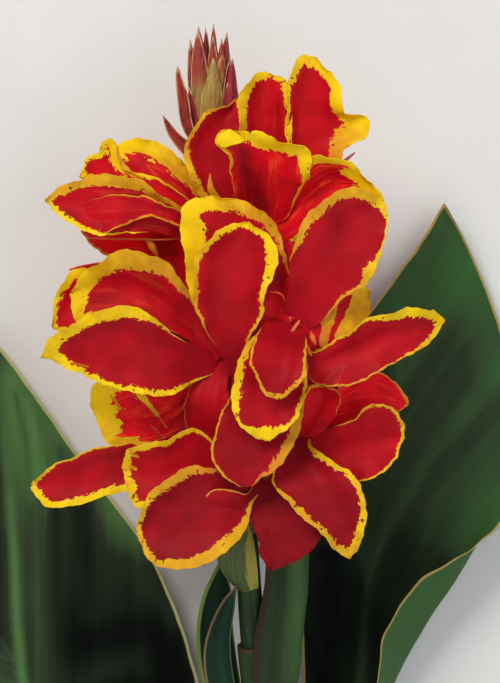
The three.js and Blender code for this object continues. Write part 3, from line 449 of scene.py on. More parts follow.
        [(-2, 344, 97), (-8, 346, 101), (-17, 346, 103)],
        narrow=True, margins=((0, 0, 0), (0.2, 0.5, 0.7, 0.7)), ochre=(1.2, 1.2), tone=0.8,
    ),
    Petal(
        "back_left", (-76, 402, 10),
        [(-42, 384, 22), (-62, 388, 12)],
        [(-42, 396, 17), (-60, 400, 9)],
        [(-40, 410, 22), (-60, 412, 13)],
        margins=((0, 2.5, 3.5, 4), (0, 2.2, 3, 4)), ochre=(0.3, 0.3),
    ),
    Petal(
        "back_left", (-58, 452, 16),
        [(-40, 412, 26), (-57, 430, 18)],
        [(-34, 420, 21), (-48, 438, 14)],
        [(-26, 424, 26), (-38, 448, 20)],
        margins=((0, 2, 3, 4), (0, 2.6, 3.4, 4)), ochre=(0.3, 0.3),
    ),
    Petal(
        "back_left", (-44, 346, 14),
        [(-22, 378, 24), (-28, 360, 15)],
        [(-32, 378, 20), (-38, 362, 12)],
        [(-42, 380, 25), (-52, 364, 17)],
        margins=((0, 2.5, 3.5, 3), (0, 2.2, 3, 4)), ochre=(0.3, 0.3),
    ),
    Petal(
        "back_right", (60, 419, 24),
        [(36, 436, 32), (48, 430, 26)],
        [(38, 425, 28), (50, 420, 23)],
        [(38, 412, 33), (54, 412, 27)],
        margins=((0, 2.5, 3.5, 4), (0, 2.2, 3, 4)), ochre=(0.3, 0.3),
    ),
    Petal(
        "back_right", (44, 474, 26),
        [(14, 446, 34), (24, 468, 28)],
        [(26, 446, 28), (36, 464, 24)],
        [(34, 436, 33), (48, 454, 27)],
        margins=((0, 2, 3, 4), (0, 2.6, 3.4, 4)), ochre=(0.3, 0.3),
    ),
    Petal(
        "back_right", (36, 372, 23),
        [(34, 406, 31), (46, 388, 25)],
        [(26, 404, 27), (34, 386, 21)],
        [(16, 406, 31), (22, 384, 25)],
        margins=((0, 2.5, 3.5, 3), (0, 2.2, 3, 4)), ochre=(0.3, 0.3),
    ),
    Petal(
        "back_bottom", (-32, 314, 15),
        [(-8, 338, 26), (-16, 320, 17)],
        [(-17, 342, 21), (-26, 326, 14)],
        [(-22, 350, 27), (-36, 338, 19)],
        margins=((0, 2.5, 3.5, 4), (0, 2.2, 3, 4)), ochre=(0.3, 0.3),
    ),
    Petal(
        "back_bottom", (26, 314, 18),
        [(16, 348, 28), (30, 342, 21)],
        [(10, 338, 22), (21, 328, 17)],
        [(2, 336, 27), (8, 320, 20)],
        margins=((0, 2, 3, 4), (0, 2.6, 3.4, 4)), ochre=(0.3, 0.3),
    ),
]

# Stamens and styles: the flower, the line, radii along it, and a colour as for a petal's ochre.
STAMENS = [
    ("right", [(15.6, 430.6, 101), (14.3, 433, 103), (12, 434.2, 104.5), (8.4, 434.2, 104)],
     (0.2, 0.35, 0.4, 0.3), 1.9),
    ("right", [(18, 415, 100), (19, 417, 103.5), (22.3, 422, 105)], (0.5, 0.9, 0.5), 2.2),
    ("right", [(18, 421, 97), (17.9, 422.5, 101), (17.8, 423, 104)], (0.5, 0.5, 0.6), 2.5),
    ("right", [(14.2, 414.5, 101), (14.2, 414, 105), (14.2, 413.5, 106.5)], (0.5, 0.5, 0.5), 2.5),
    ("right", [(27.2, 416.6, 101), (28.1, 413.4, 105.5), (29.4, 410.7, 104)], (0.4, 1.3, 0.6), 1.9),
    ("right", [(24.1, 412, 101), (25.8, 408.5, 106.5), (27.6, 405.8, 105)], (0.4, 1.4, 0.6), 1.7),
    ("top", [(37, 488, 92), (42.8, 493.6, 94), (47.3, 497.2, 95)], (0.6, 0.9, 0.5), 3.3),
    ("upper_left", [(-47.4, 459.1, 82), (-44.7, 455.9, 85), (-41.6, 450.5, 82)], (0.5, 1.7, 0.5), 1.25),
    ("upper_left", [(-24, 463, 78), (-31.6, 459, 84), (-54, 458.4, 88), (-74.4, 459, 88)], (0.4, 0.4), 2.1),
]

# Leaves, from the lowest up. sheath is the stretch of stem, in Y, that the leaf's base wraps. slopes say
# how far its side veins run forward for each mm outward, by the midrib and by the edge. light holds its
# strokes of light and shade, each (line of X and Y, reach, lightness), painted over those before.
LEAVES = {
    "leaf_left": {
        "sheath": (-56, 83),
        "slopes": (1.6, 1.6),
        "rails": [
            [(-5, 50, 3), (-9, 74, 4), (-32, 98, 6), (-84, 132, 6), (-142, 186, 5), (-194, 262, 4),
             (-222, 350, 7), (-222, 420, 12)],
            [(-9.3, 52, 10), (-11, 78, 11), (-20, 108, 11), (-42, 150, 8), (-84, 216, 3), (-132, 292, 1.2),
             (-172, 366, 3), (-202, 424, 10)],
            [(-2, 54, 19.5), (-6, 90, 22), (-11, 134, 25), (-17, 190, 26), (-26, 256, 22), (-44, 308, 17),
             (-76, 351, 14), (-112, 402, 12), (-156, 446, 13), (-190, 462, 15)],
        ],
        "tip": (-218, 468, 18),
        "light": [
            ([(-116, 392), (-108, 366), (-97, 347)], 16.0, 0.82),
            ([(-90, 371), (-78, 355)], 7.1, 0.85),
            ([(-76, 271), (-47, 278), (-36, 252), (-62, 242)], 22.7, 0.0),
            ([(-57, 297)], 12.3, 0.12),
            ([(-79, 342), (-75, 285)], 7.1, 0.12),
            ([(-54, 306)], 12.3, 0.34),
            ([(-65, 337), (-60, 328), (-55, 319)], 7.1, 0.72),
            ([(-47, 299), (-34, 282)], 5.2, 0.3),
            ([(-101, 337), (-99, 247)], 6.6, 0.36),
            ([(-92, 343), (-93, 285)], 3.3, 0.2),
            ([(-111, 387), (-106, 366), (-104, 337)], 1.7, 0.6),
            ([(-102, 384), (-97, 366), (-94, 344)], 1.7, 0.64),
            ([(-90, 361), (-84, 342)], 1.9, 0.6),
            ([(-106, 385), (-102, 366), (-100, 342)], 1.9, 0.86),
            ([(-117, 373), (-114, 337)], 1.9, 0.85),
            ([(-114, 337), (-112, 309), (-111, 280), (-108, 247)], 2.2, 0.92),
            ([(-120, 318), (-119, 271)], 3.3, 0.3),
            ([(-147, 337), (-176, 309)], 28.3, 0.6),
        ],
    },
    "leaf_right": {
        "sheath": (85, 142),
        "slopes": (4.0, 1.2),
        "rails": [
            [(4, 112, 3.5), (12, 132, 5), (18, 180, 8), (25, 245, 8), (24, 314, 7), (24, 350, 6),
             (30, 386, 5.5), (43, 411, 7), (59, 430, 9), (78, 454, 11)],
            [(11.5, 114, 9), (15, 136, 10), (32, 180, 8), (48, 235, 5), (55, 290, 2.5), (60, 335, 2),
             (71, 390, 3), (83, 440, 7)],
            [(12, 116, 16), (20, 140, 17), (46, 190, 15), (68, 252, 15), (82, 279, 20), (96, 304, 22),
             (104, 340, 12), (103, 380, 6), (99, 420, 7), (97, 452, 11)],
            [(6, 118, 21.5), (14, 150, 27), (36, 198, 36), (56, 252, 42), (63, 277, 45), (74, 293, 45),
             (95, 311, 40), (116, 328, 28), (127, 350, 18), (128, 378, 12), (122, 408, 9),
             (112, 438, 10), (102, 460, 12)],
        ],
        "tip": (92, 478, 14),
        "light": [
            ([(38, 309), (38, 243)], 20.8, 0.0),
            ([(58, 290), (55, 243)], 13.2, 0.08),
            ([(72, 316), (65, 290)], 9.4, 0.25),
            ([(91, 470), (95, 446)], 28.3, 0.8),
            ([(100, 446), (117, 399)], 12.3, 0.85),
            ([(64, 432), (80, 418)], 12.3, 0.6),
            ([(94, 408), (85, 361)], 20.8, 0.42),
            ([(120, 370), (113, 342)], 16.0, 0.56),
            ([(121, 337), (108, 316)], 13.2, 0.82),
            ([(62, 337), (57, 309)], 7.6, 0.3),
            ([(90, 308), (75, 289)], 6.6, 0.34),
            ([(52, 243), (55, 281), (60, 309), (66, 337), (72, 361)], 2.8, 0.4),
            ([(83, 319), (95, 352), (104, 385)], 3.3, 0.5),
            ([(73, 328), (85, 361), (92, 389)], 2.4, 0.46),
        ],
    },
    "leaf_upper": {
        "sheath": (210, 272),
        "slopes": (1.6, 1.6),
        "rails": [
            [(4, 236, 46), (2, 262, 54), (4, 283, 57.5), (6.5, 307, 57), (9, 328, 56)],
            [(16, 232, 38), (22, 252, 42), (25, 282, 46), (27, 308, 49), (25, 334, 50)],
            [(6, 232, 27), (9, 256, 32), (12, 284, 37), (14, 308, 41), (15, 330, 44)],
        ],
        "tip": (18, 348, 50),
        "light": [
            ([(22, 319), (23, 284), (22, 252)], 4.2, 1.0),
            ([(12, 312), (10, 252)], 5.7, 0.3),
        ],
    },
}

# Small leaves that stay narrow, each seated on the stem: its slot, rails and tip.
BRACTS = {
    "leaf_small_back": ("leaf", [
        [(2, 196, 20), (-11, 226, 30), (-22, 252, 34), (-25, 276, 38), (-22, 294, 40)],
        [(4, 197, 19), (-5, 226, 26), (-13, 255, 31), (-16, 278, 35), (-16, 296, 38)],
        [(6, 198, 19), (0, 228, 25), (-5, 256, 30), (-8, 280, 35), (-9, 298, 38)],
    ], (-14, 311, 42)),
    "leaf_small_front": ("leaf", [
        [(0, 201, 36), (-10, 226, 44), (-20, 254, 51), (-21, 272, 54), (-14, 291, 57)],
        [(3, 200, 37), (-4, 226, 45), (-12, 254, 52), (-14, 274, 55), (-10, 291, 57)],
        [(5, 200, 35), (0, 228, 45), (-7, 254, 50), (-9, 274, 53), (-7, 290, 56)],
    ], (-6, 301, 58)),
    "bract": ("bract", [
        [(-5, 297, 52), (-12, 305, 57), (-15, 314, 61), (-10, 322, 65)],
        [(-1, 296, 55), (-4, 305, 61), (-5, 316, 66), (-3, 323, 68)],
        [(4, 297, 53), (3.6, 306, 61), (2.5, 316, 65), (1, 324, 67)],
    ], (-1, 330, 69)),
}

# Buds: root, tip, radius, and the share of its length where a bud turns from gold to red. Where that is
# below 0, the bud turns magenta.
BUDS = [
    ((-17, 505, 68), (-16.6, 541, 76), 5.4, 1.5),
    ((-16.6, 512, 67), (-16.6, 557, 72), 2.9, 0.6),
    ((-21, 508, 65), (-23.5, 556, 69), 4.3, 0.5),
    ((-20, 510, 63), (-20.3, 556, 67), 2.4, 0.15),
    ((-23, 508, 63), (-27.4, 550.5, 66), 3, 0.3),
    ((-14.5, 508, 68), (-12.8, 550.5, 72), 3, 0.75),
    ((-14, 508, 65), (-10.5, 553.5, 68), 3.6, 0.2),
    ((-10.5, 506, 68), (-8, 541, 74), 4.2, -0.6),
    ((-17, 507, 63), (-16, 546, 59), 3.2, 0.1),
    ((-15, 506, 63), (-8, 540, 61), 3.2, 0.1),
    ((-19, 506, 63), (-23, 541, 62), 3, 0.2),
]

# The slender bracts beside the buds: root, rails, tip, and the share where each turns from gold to red.
BUD_BRACTS = [
    ((-19, 494, 67), [
        [(-30.5, 509, 69), (-33.5, 526, 70), (-34, 534, 70)],
        [(-28, 510, 68), (-31, 525, 69), (-32.8, 534, 70)],
        [(-26, 511, 70), (-28, 523, 71), (-31, 533, 71)],
    ], (-33, 538.5, 70), 0.2),
    ((-19, 489, 66), [
        [(-31, 498, 67), (-38, 508, 67)],
        [(-28, 499, 66), (-36, 508, 66)],
        [(-26, 501, 69), (-34, 509, 68)],
    ], (-40, 516, 67), 0.1),
    ((-18.5, 500, 67), [
        [(-27, 512, 66), (-28.5, 521, 67)],
        [(-24, 512, 67), (-26.4, 521, 67.5)],
        [(-20.5, 513, 69), (-24, 520, 69)],
    ], (-28, 529, 68), -0.15),
]

# ---- How finely shapes are divided, from root to tip, and from edge to edge or round ----
PETAL_GRID = (84, 28)
NARROW_GRID = (30, 8)
LEAF_GRID = (180, 110)
BRACT_GRID = (60, 24)
BUD_BRACT_GRID = (40, 12)
SEPAL_GRID = (30, 14)
GREEN_GRID = (30, 12)
OVARY_GRID = (30, 40)
TUBE_GRID = (20, 24)
STAMEN_GRID = (24, 12)
BUD_GRID = (26, 20)
STEM_RINGS = 260
SHEATH_RINGS = 90
STEM_SIDES = 56
CURVE_STEPS = 40  # that a smooth curve is measured in, for each of its points
LINE_STEPS = 24  # and a stroke's line
RAIL_STEPS = 200  # and a petal's middle rail, as a whole
STEM_STEPS = 400  # and the stem's axis, as a whole
STEEP = 0.9  # rings round a line that rises more than this are set out from X, and others from Z
NARROW_ROOT = 0.02  # a narrow petal's first row, just past the point where its rails part
TIP_SHARE = 0.992  # a petal's last row, just short of the point where its rails meet
LEAF_TIP_SHARE = 0.998

# ---- Ripples: (wave length, height) pairs ----
RUFFLES = ((13.0, 0.32), (7.0, 0.22), (4.1, 0.12))  # out of a petal's plane, at its edge
TEETH = ((8.0, 0.22), (4.6, 0.13), (2.3, 0.08))  # in a petal's plane: its ragged outline
LEAF_RIPPLES = ((38.0, 0.7), (17.0, 0.3))

# ---- Relief and form ----
PETAL_THINNING = (0.3, 5)  # the share of a petal's thickness left at its rim, and how far in it thins
GREEN_THINNING = (0.35, 1.6)
LEAF_THINNING = (0.35, 8)
TIP_BLEND = 0.08  # how far round the tip a blade's left margin passes into its right one
RUFFLE_REACH = 2.6  # how far in from a petal's edge its ruffles die away
RAGGED_CENTRE = 0.4  # how far a petal's outline is pushed from its centre rather than from its middle line
FOLD_COUNT = 2.3  # lengthwise folds across a petal
FOLD_HEIGHT = 0.5
FOLD_ROOT = 0.7  # of that count, at the petal's root
FOLD_STRETCH = 1.1  # how many times sooner than at its tip they die away
FOLD_RIM = 8  # how far in from a petal's edge its folds are flattened
LEAF_RIPPLE_REACH = 9.0  # how far in from a leaf's edge its ripples die away
LEAF_RIPPLE_START = (0.05, 0.3)  # shares of the leaf's length between which its ripples grow
WART_COUNT = 46  # on an ovary
WART_HEIGHT = 0.38
WART_RADIUS = 0.62
WART_SPAN = (0.1, 0.9)  # of the ovary's length
WART_PILE = 1.5  # how much higher than one wart they may pile up
OVARY_SKIN = 0.94  # of the ovary's radius, under its warts
SEPAL_LENGTH = 12
SEPAL_SHARE = 0.8  # of its green petals' length, that a sepal doesn't pass
SEPAL_THICKNESS = 0.5
CALYX_START = -2  # where the green petals and sepals start, along the flower from its ovary's top
GREEN_PETAL_LIFT = 2.4  # from the flower's axis there
SEPAL_LIFT = 2.6
GREEN_PETAL_STATIONS = (  # share of the length, lift from the axis, half width and edge drop
    (0.25, 3.4, 0.4 * GREEN_PETAL_WIDTH, 0.8),
    (0.6, 4.6, 0.5 * GREEN_PETAL_WIDTH, 0.8),
    (1, THROAT_RADIUS + GREEN_PETAL_STANDOFF, 0, 0),
)
SEPAL_STATIONS = ((0.3, 3.9, 2.1, 0.9), (0.7, 4.7, 1.8, 0.7), (1, 5.2, 0, 0))
VEIN_BEND = 20.0  # how far from the midrib a leaf's side veins bend
PLEAT_LENGTH = 11.0  # spacing of the leaf's pleats, along its midrib
PLEAT_HEIGHT = 0.12
PLEATS_FROM_RIB = (3, 12)  # mm between which the pleats grow, outward from the midrib
PLEATS_FROM_RIM = (0, 12)  # and inward from the rim
PLEATS_START = (0.02, 0.2)  # and, in shares of the leaf's length, from its root
MIDRIB_WIDTH = 3.2
MIDRIB_TAPER = 1.15  # the midrib's width at the root, in those widths; it loses one on its way to the tip
GROOVE_DEPTH = 0.9  # of the midrib's groove in the leaf's upper face
TUBE_DROP = 1.6  # how far below its throat a flower's tube ends
TUBE_TAPER = (0.85, 0.6, 0.3)  # of the tube's last rings, inside the throat
STAMEN_BLUNTNESS = 12  # the power of the share of its length by which a stamen rounds off
STAMEN_TIP = 0.02  # the square of the share of its radius that is left at its tip
PLAIN_STEM_START = 1  # mm above the cut, past its own rings
CUT_DEPTHS = np.array([0, 0.03, 0.06, 0.1, 0.15, 0.3])  # rings of the stem's cut end, along the stem
CUT_SHARES = np.array([0.02, 0.3, 0.6, 0.84, 0.96, 1.0])  # and their radii
BUD_CORE = 0.92  # of a bud's radius, inside its sepals
BUD_SEPALS = 3  # on each bud
BUD_SEPAL_REACH = (0.74, 0.97)  # of the bud's length
BUD_TWIST = 0.4  # how far either way its sepals are turned about it
FRONT_SEPAL = -math.pi / 2  # the way round a bud that faces up
BUD_SEPAL_STATIONS = (  # along it, lift from its axis, half width and edge drop; all but the first in radii
    (0.05, 0.7, 0.5, 0.3),
    (0.35, 1.03, 1.0, 0.62),
    (0.65, 0.98, 0.85, 0.5),
    (0.88, 0.62, 0.42, 0.2),
    (1, 0.32, 0, 0),
)

# ---- What a mesh tells its material ----
SEED_SPAN = 40.0  # of the number that sets one piece's noise apart from another's
BASE_LIGHT = 0.42  # of a big leaf, before its strokes of light and shade
PLAIN_LIGHT = 0.5  # of a blade without strokes
STROKE_NEAR = 1.5  # how near a stroke of yellow colours what lies round it
STROKE_RAGGED = 0.3  # a stroke's border is as ragged as a margin of this share of its reach
FAR_INSIDE = 50.0  # stands for the distance to the rim where a surface has none
ALL_YELLOW = (-9.0, 9.0, 0.5)  # the rim mark of a stamen
ALL_RED = (FAR_INSIDE, FAR_INSIDE, 0.5)  # and of a flower's tube


# ---- Curves ----


def catmull_rom(points, places, power):
    """Points of a Catmull-Rom curve, at places counted in steps from one of its points to the next."""
    points = np.asarray(points, float)
    padded = np.concatenate([[2 * points[0] - points[1]], points, [2 * points[-1] - points[-2]]])
    steps = np.linalg.norm(np.diff(padded, axis=0), axis=-1, keepdims=True) ** power
    start = np.clip(np.floor(places).astype(int), 0, len(points) - 2)
    t = (places - start).reshape(-1, *[1] * (points.ndim - 1))
    x0, x1, x2, x3 = (padded[start + k] for k in range(4))
    d0, d1, d2 = (steps[start + k] for k in range(3))
    leaving = d1 * ((x1 - x0) / d0 - (x2 - x0) / (d0 + d1) + (x2 - x1) / d1)
    arriving = d1 * ((x2 - x1) / d1 - (x3 - x1) / (d1 + d2) + (x3 - x2) / d2)
    bend = 3 * (x2 - x1) - 2 * leaving - arriving
    return x1 + leaving * t + bend * t**2 + (2 * (x1 - x2) + leaving + arriving) * t**3


def lengths(points):
    """How far along a line of points each one lies."""
    return np.concatenate([[0], np.cumsum(np.linalg.norm(np.diff(points, axis=0), axis=1))])


def columns_at(places, known, points):
    """Points of a line at places, where its own points lie at the known places."""
    return np.stack([np.interp(places, known, values) for values in np.transpose(points)], axis=1)


def walk(points, shares):
    """Points of the smooth curve through points, at shares of its length."""
    fine = catmull_rom(points, np.linspace(0, len(points) - 1, CURVE_STEPS * len(points)), 0.5)
    run = lengths(fine)
    return columns_at(shares * run[-1], run, fine)


def between(start, end, count):
    return start + (end - start) * np.linspace(0, 1, count)[:, None]


def unit(vectors):
    return vectors / np.maximum(np.linalg.norm(vectors, axis=-1, keepdims=True), 1e-9)


def smooth_step(low, high, value):
    t = np.clip((value - low) / (high - low), 0, 1)
    return t * t * (3 - 2 * t)


def ripple(run, waves, rng):
    """A seeded smooth function of a length: a sum of sines of these wave lengths and heights."""
    total = np.zeros_like(run)
    for wave_length, height in waves:
        total += height * np.sin(TURN * run / wave_length + rng.uniform(0, TURN))
    return total


# ---- Meshes ----


class Mesh:
    """A mesh under construction, with four marks at each point, of three numbers each, for its material.

    A material names the numbers where it reads a mark. blade is always where a point lies, across and
    along, with a seed, and kind always starts with the side, 1 above and 0 below.
    """

    MARKS = ("blade", "rim", "kind", "tone")

    def __init__(self):
        self.points = []
        self.faces = []
        self.marks = {name: [] for name in self.MARKS}
        self.count = 0

    def add(self, points, faces, blade, rim, kind, tone=(1.0, 0.0, 0.0)):
        self.points.append(points)
        self.faces += (faces + self.count).tolist()
        for name, values in zip(self.MARKS, (blade, rim, kind, tone)):
            self.marks[name].append(np.broadcast_to(values, points.shape))
        self.count += len(points)

    def place(self, name, material, slot, node):
        """Makes the finished piece, which stands for a node of the part."""
        data = bpy.data.meshes.new(name)
        data.from_pydata((np.concatenate(self.points) * MM).tolist(), [], self.faces)
        for mark, values in self.marks.items():
            attribute = data.attributes.new(mark, "FLOAT_VECTOR", "POINT")
            attribute.data.foreach_set("vector", np.concatenate(values).astype(np.float32).ravel())
        data.polygons.foreach_set("use_smooth", [True] * len(data.polygons))
        data.materials.append(material)
        piece = bpy.data.objects.new(name, data)
        bpy.context.scene.collection.objects.link(piece)
        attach(piece, "root")
        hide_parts(node)


def grid_faces(rows, columns, flip=False):
    """Quads of a grid of points, row by row."""
    at = np.arange(rows * columns).reshape(rows, columns)
    quads = np.stack([at[:-1, :-1], at[:-1, 1:], at[1:, 1:], at[1:, :-1]], axis=-1).reshape(-1, 4)
    return quads[:, ::-1] if flip else quads


def shell_faces(rows, columns):
    """Faces of a closed blade: its upper grid, its lower grid, and a strip round its rim."""
    at = np.arange(rows * columns).reshape(rows, columns)
    rim = np.concatenate([at[0, :-1], at[:-1, -1], at[-1, :0:-1], at[:0:-1, 0]])
    after = np.roll(rim, -1)
    under = rows * columns
    strip = np.stack([rim, rim + under, after + under, after], axis=-1)
    return np.concatenate([grid_faces(rows, columns), grid_faces(rows, columns, True) + under, strip])


# ---- Blades ----


def edge_spacing(columns):
    """Shares from one edge to the other, closer together near the edges."""
    return 0.5 - 0.5 * np.cos(math.pi * np.linspace(0, 1, columns))


def loft(rails, rows, columns):
    """A sheet through rails: a grid of points."""
    lines = np.array([walk(rail, rows) for rail in rails])
    return np.swapaxes(catmull_rom(lines, columns * (len(rails) - 1), 0), 0, 1)


def facing(sheet):
    return unit(np.cross(np.gradient(sheet, axis=1), np.gradient(sheet, axis=0)))


def nearest_rim(sheet):
    """Each point's nearest point of the outline, which runs from the left of the root round the tip to
    its right: how far off it is, its place (0 at the left, 1 at the tip and 2 at the right) and its run."""
    outline = np.concatenate([sheet[:, 0], sheet[-1, 1:-1], sheet[::-1, -1]])
    run = lengths(outline)
    to_tip = run[sheet.shape[0] - 1 + sheet.shape[1] // 2]
    place = np.where(run < to_tip, run / to_tip, 1 + (run - to_tip) / (run[-1] - to_tip))
    gaps = np.linalg.norm(sheet.reshape(-1, 3)[:, None] - outline[None], axis=2)
    nearest = gaps.argmin(axis=1)
    return [values.reshape(sheet.shape[:2]) for values in (gaps.min(axis=1), place[nearest], run[nearest])]


def up_the_sides(place, left, right):
    """Values at places round an outline, from two lists that run from the root to the tip."""
    left, right = np.atleast_1d(left), np.atleast_1d(right)
    on_left = np.interp(place, np.linspace(0, 1, len(left)), left)
    on_right = np.interp(2 - place, np.linspace(0, 1, len(right)), right)
    return on_left + (on_right - on_left) * smooth_step(1 - TIP_BLEND, 1 + TIP_BLEND, place)


def across_and_along(sheet, columns):
    """Where each point lies on a blade, in mm."""
    along = np.array([lengths(line) for line in np.swapaxes(sheet, 0, 1)]).T
    along = np.broadcast_to(along.mean(axis=1, keepdims=True), sheet.shape[:2])
    width = np.linalg.norm(sheet[:, -1] - sheet[:, 0], axis=1)[:, None]
    return (columns[None] - 0.5) * width, along


def thinned(thickness, distance, rim_share, reach):
    """A blade's thickness, at these distances from its rim."""
    return thickness * (rim_share + (1 - rim_share) * smooth_step(0, reach, distance))


def add_blade(mesh, sheet, out, thickness, blade, rim, kind, tone, drop=0.0):
    """Adds a closed blade round its sheet. drop is how far its lower face hangs down further."""

    def spread(*values):
        spread_out = [np.broadcast_to(value, sheet.shape[:2]) for value in values]
        return np.stack(spread_out, axis=-1).reshape(-1, 3)

    half = (thickness / 2)[..., None] * out
    lower = sheet - half - np.broadcast_to(drop, sheet.shape[:2])[..., None] * out
    mesh.add(
        np.concatenate([(sheet + half).reshape(-1, 3), lower.reshape(-1, 3)]),
        shell_faces(*sheet.shape[:2]),
        np.tile(spread(*blade), (2, 1)),
        np.tile(spread(*rim), (2, 1)),
        np.concatenate([spread(side, *kind) for side in (1.0, 0.0)]),
        np.tile(spread(*tone), (2, 1)),
    )


def gaps_to(sheet, line):
    """How far each point of a sheet lies from a line of X and Y, seen from above."""
    line = line if len(line) > 1 else line * 2
    steps = np.linspace(0, len(line) - 1, LINE_STEPS * len(line))
    line = columns_at(steps, range(len(line)), line)
    return np.linalg.norm(sheet[..., None, :2] - line, axis=-1).min(axis=-1)


def painted(sheet, base, strokes):
    """Values that start from a base and that strokes change, each by the distance from its line."""
    values = np.full(sheet.shape[:2], float(base))
    for line, reach, value in strokes:
        values += (value - values) * np.exp(-((gaps_to(sheet, line) / reach) ** 2))
    return values


# ---- Petals ----


def petal_rails(petal, throat):
    """A petal's rails with their roots: side by side across the throat, or all at one point."""
    root = np.array(petal.root or throat, float)
    away = unit((np.array(petal.middle[0]) - root) * [1, 1, 0])
    half = 0 if petal.narrow else CLAW_HALF_WIDTH
    aside = np.array([-away[1], away[0], 0]) * half
    sides = ((petal.left, 1), (petal.middle, 0), (petal.right, -1))
    return [[root + way * aside, *rail, petal.tip] for rail, way in sides]


def ruffled(sheet, rails, tip, row, column, distance, run, rng):
    """A petal's sheet with its waves, folds, ragged outline and arch."""
    length = lengths(walk(rails[1], np.linspace(0, 1, RAIL_STEPS)))[-1]
    calm = np.minimum(1, row / CALM_SHARE)
    turn = TURN * length * row / PETAL_WAVE_LENGTH + np.where(column > 0.5, SIDE_LAG, 0) + tip[0]
    wave = PETAL_WAVE * np.abs(2 * column - 1) ** EDGE_POWER * calm * np.sin(turn)
    near_edge = np.exp(-distance / RUFFLE_REACH) * calm
    wave = wave + near_edge * ripple(run, RUFFLES, rng)
    folds = FOLD_COUNT * (FOLD_ROOT + (1 - FOLD_ROOT) * row)
    fold = np.sin(TURN * folds * (column - 0.5) + rng.uniform(0, TURN)) * smooth_step(0, FOLD_RIM, distance)
    fold = fold * np.sin(math.pi * np.minimum(1, row * FOLD_STRETCH))
    wave = wave + FOLD_HEIGHT * fold
    ragged = near_edge * ripple(run, TEETH, rng)
    rows, columns = sheet.shape[:2]
    middle, centre = sheet[:, columns // 2][:, None], sheet[rows // 2, columns // 2]
    inside = middle + RAGGED_CENTRE * (centre - middle)
    waved = sheet + unit(sheet - inside) * ragged[..., None] + facing(sheet) * wave[..., None]
    waved[..., 2] += PETAL_ARCH * np.sign(tip[2] - HEAD_MIDDLE) * np.sin(math.pi * row)
    return waved


def gilded(sheet, inner, width, ochre, strokes):
    """How far inside the yellow each point lies, the yellow's width there and its ochre, after strokes of
    yellow in the red."""
    for line, reach, tint in strokes:
        beyond = gaps_to(sheet, line) - reach
        nearer = beyond < np.minimum(inner, STROKE_NEAR)
        ochre = np.where(nearer, tint, ochre)
        width = np.where(nearer, STROKE_RAGGED * reach, width)
        inner = np.minimum(inner, beyond)
    return inner, width, ochre


def add_petal(mesh, petal, throat, rng):
    grid = NARROW_GRID if petal.narrow else PETAL_GRID
    rows = np.linspace(NARROW_ROOT if petal.narrow else 0, TIP_SHARE, grid[0])
    columns = edge_spacing(grid[1])
    row, column = np.meshgrid(rows, columns, indexing="ij")
    rails = petal_rails(petal, throat)
    sheet = loft(rails, rows, columns)
    distance, place, run = nearest_rim(sheet)
    across, along = across_and_along(sheet, columns)
    if not petal.narrow:
        sheet = ruffled(sheet, rails, petal.tip, row, column, distance, run, rng)
    width = up_the_sides(place, *petal.margins)
    ochre = up_the_sides(place, *petal.ochre)
    inner, width, ochre = gilded(sheet, distance - width, width, ochre, petal.gold)
    # the tone, with the painted light and shade of the petal's strokes
    tone = petal.tone * painted(sheet, 1, petal.shade)
    add_blade(
        mesh, sheet, facing(sheet), thinned(PETAL_THICKNESS, distance, *PETAL_THINNING),
        (across, along, rng.uniform(0, SEED_SPAN)), (inner, width, column), (ochre, row),
        (tone, petal.flame, petal.veined),
    )


# ---- Bars and tubes ----


def rings_round(centres, radii, sides, floor=None):
    """Rings of points round a line of centres; radii holds a radius for each ring, or for each point."""
    along = unit(np.gradient(centres, axis=0))
    level = np.where(np.abs(along[:, 2:]) > STEEP, [[1.0, 0, 0]], [[0, 0, 1.0]])
    side = unit(np.cross(along, level))
    up = np.cross(side, along)
    angle = np.linspace(0, TURN, sides, endpoint=False)[None, :, None]
    reach = np.asarray(radii, float).reshape(len(centres), -1, 1)
    rings = centres[:, None] + reach * (np.cos(angle) * side[:, None] + np.sin(angle) * up[:, None])
    if floor is not None:
        rings[..., 2] = np.maximum(rings[..., 2], floor)
    return rings


def ring_faces(rings, sides):
    """Quads between rings of points, each closed on itself."""
    at = np.arange(rings * sides).reshape(rings, sides)
    after = np.roll(at, -1, axis=1)
    return np.stack([at[:-1], after[:-1], after[1:], at[1:]], axis=-1).reshape(-1, 4)


def ring_marks(rings, run, seed=0.0):
    """The blade and rim marks of some rings' points. blade: how far round and along them each lies, and the
    seed. rim: far inside, how far round once more, and the share of the run."""
    girth = TURN * np.linalg.norm(rings - rings.mean(axis=1, keepdims=True), axis=2).mean()
    turn = np.linspace(0, girth, rings.shape[1], endpoint=False)[None]
    run = run[:, None]
    blade = np.stack(np.broadcast_arrays(turn, run, seed), axis=-1)
    rim = np.stack(np.broadcast_arrays(FAR_INSIDE, turn, run / run.max()), axis=-1)
    return blade.reshape(-1, 3), rim.reshape(-1, 3)


def add_bar(mesh, centres, radii, sides, kind, rim=None, seed=0.0):
    """Adds a closed bar round a line of centres, fanned shut at either end."""
    rings = rings_round(centres, radii, sides)
    blade, rim_of_rings = ring_marks(rings, lengths(centres), seed)
    start = mesh.count
    faces = ring_faces(len(centres), sides)
    mesh.add(rings.reshape(-1, 3), faces, blade, rim_of_rings if rim is None else rim, (1.0, *kind))
    mesh.faces.append([start + k for k in range(sides)][::-1])
    mesh.faces.append([mesh.count - sides + k for k in range(sides)])


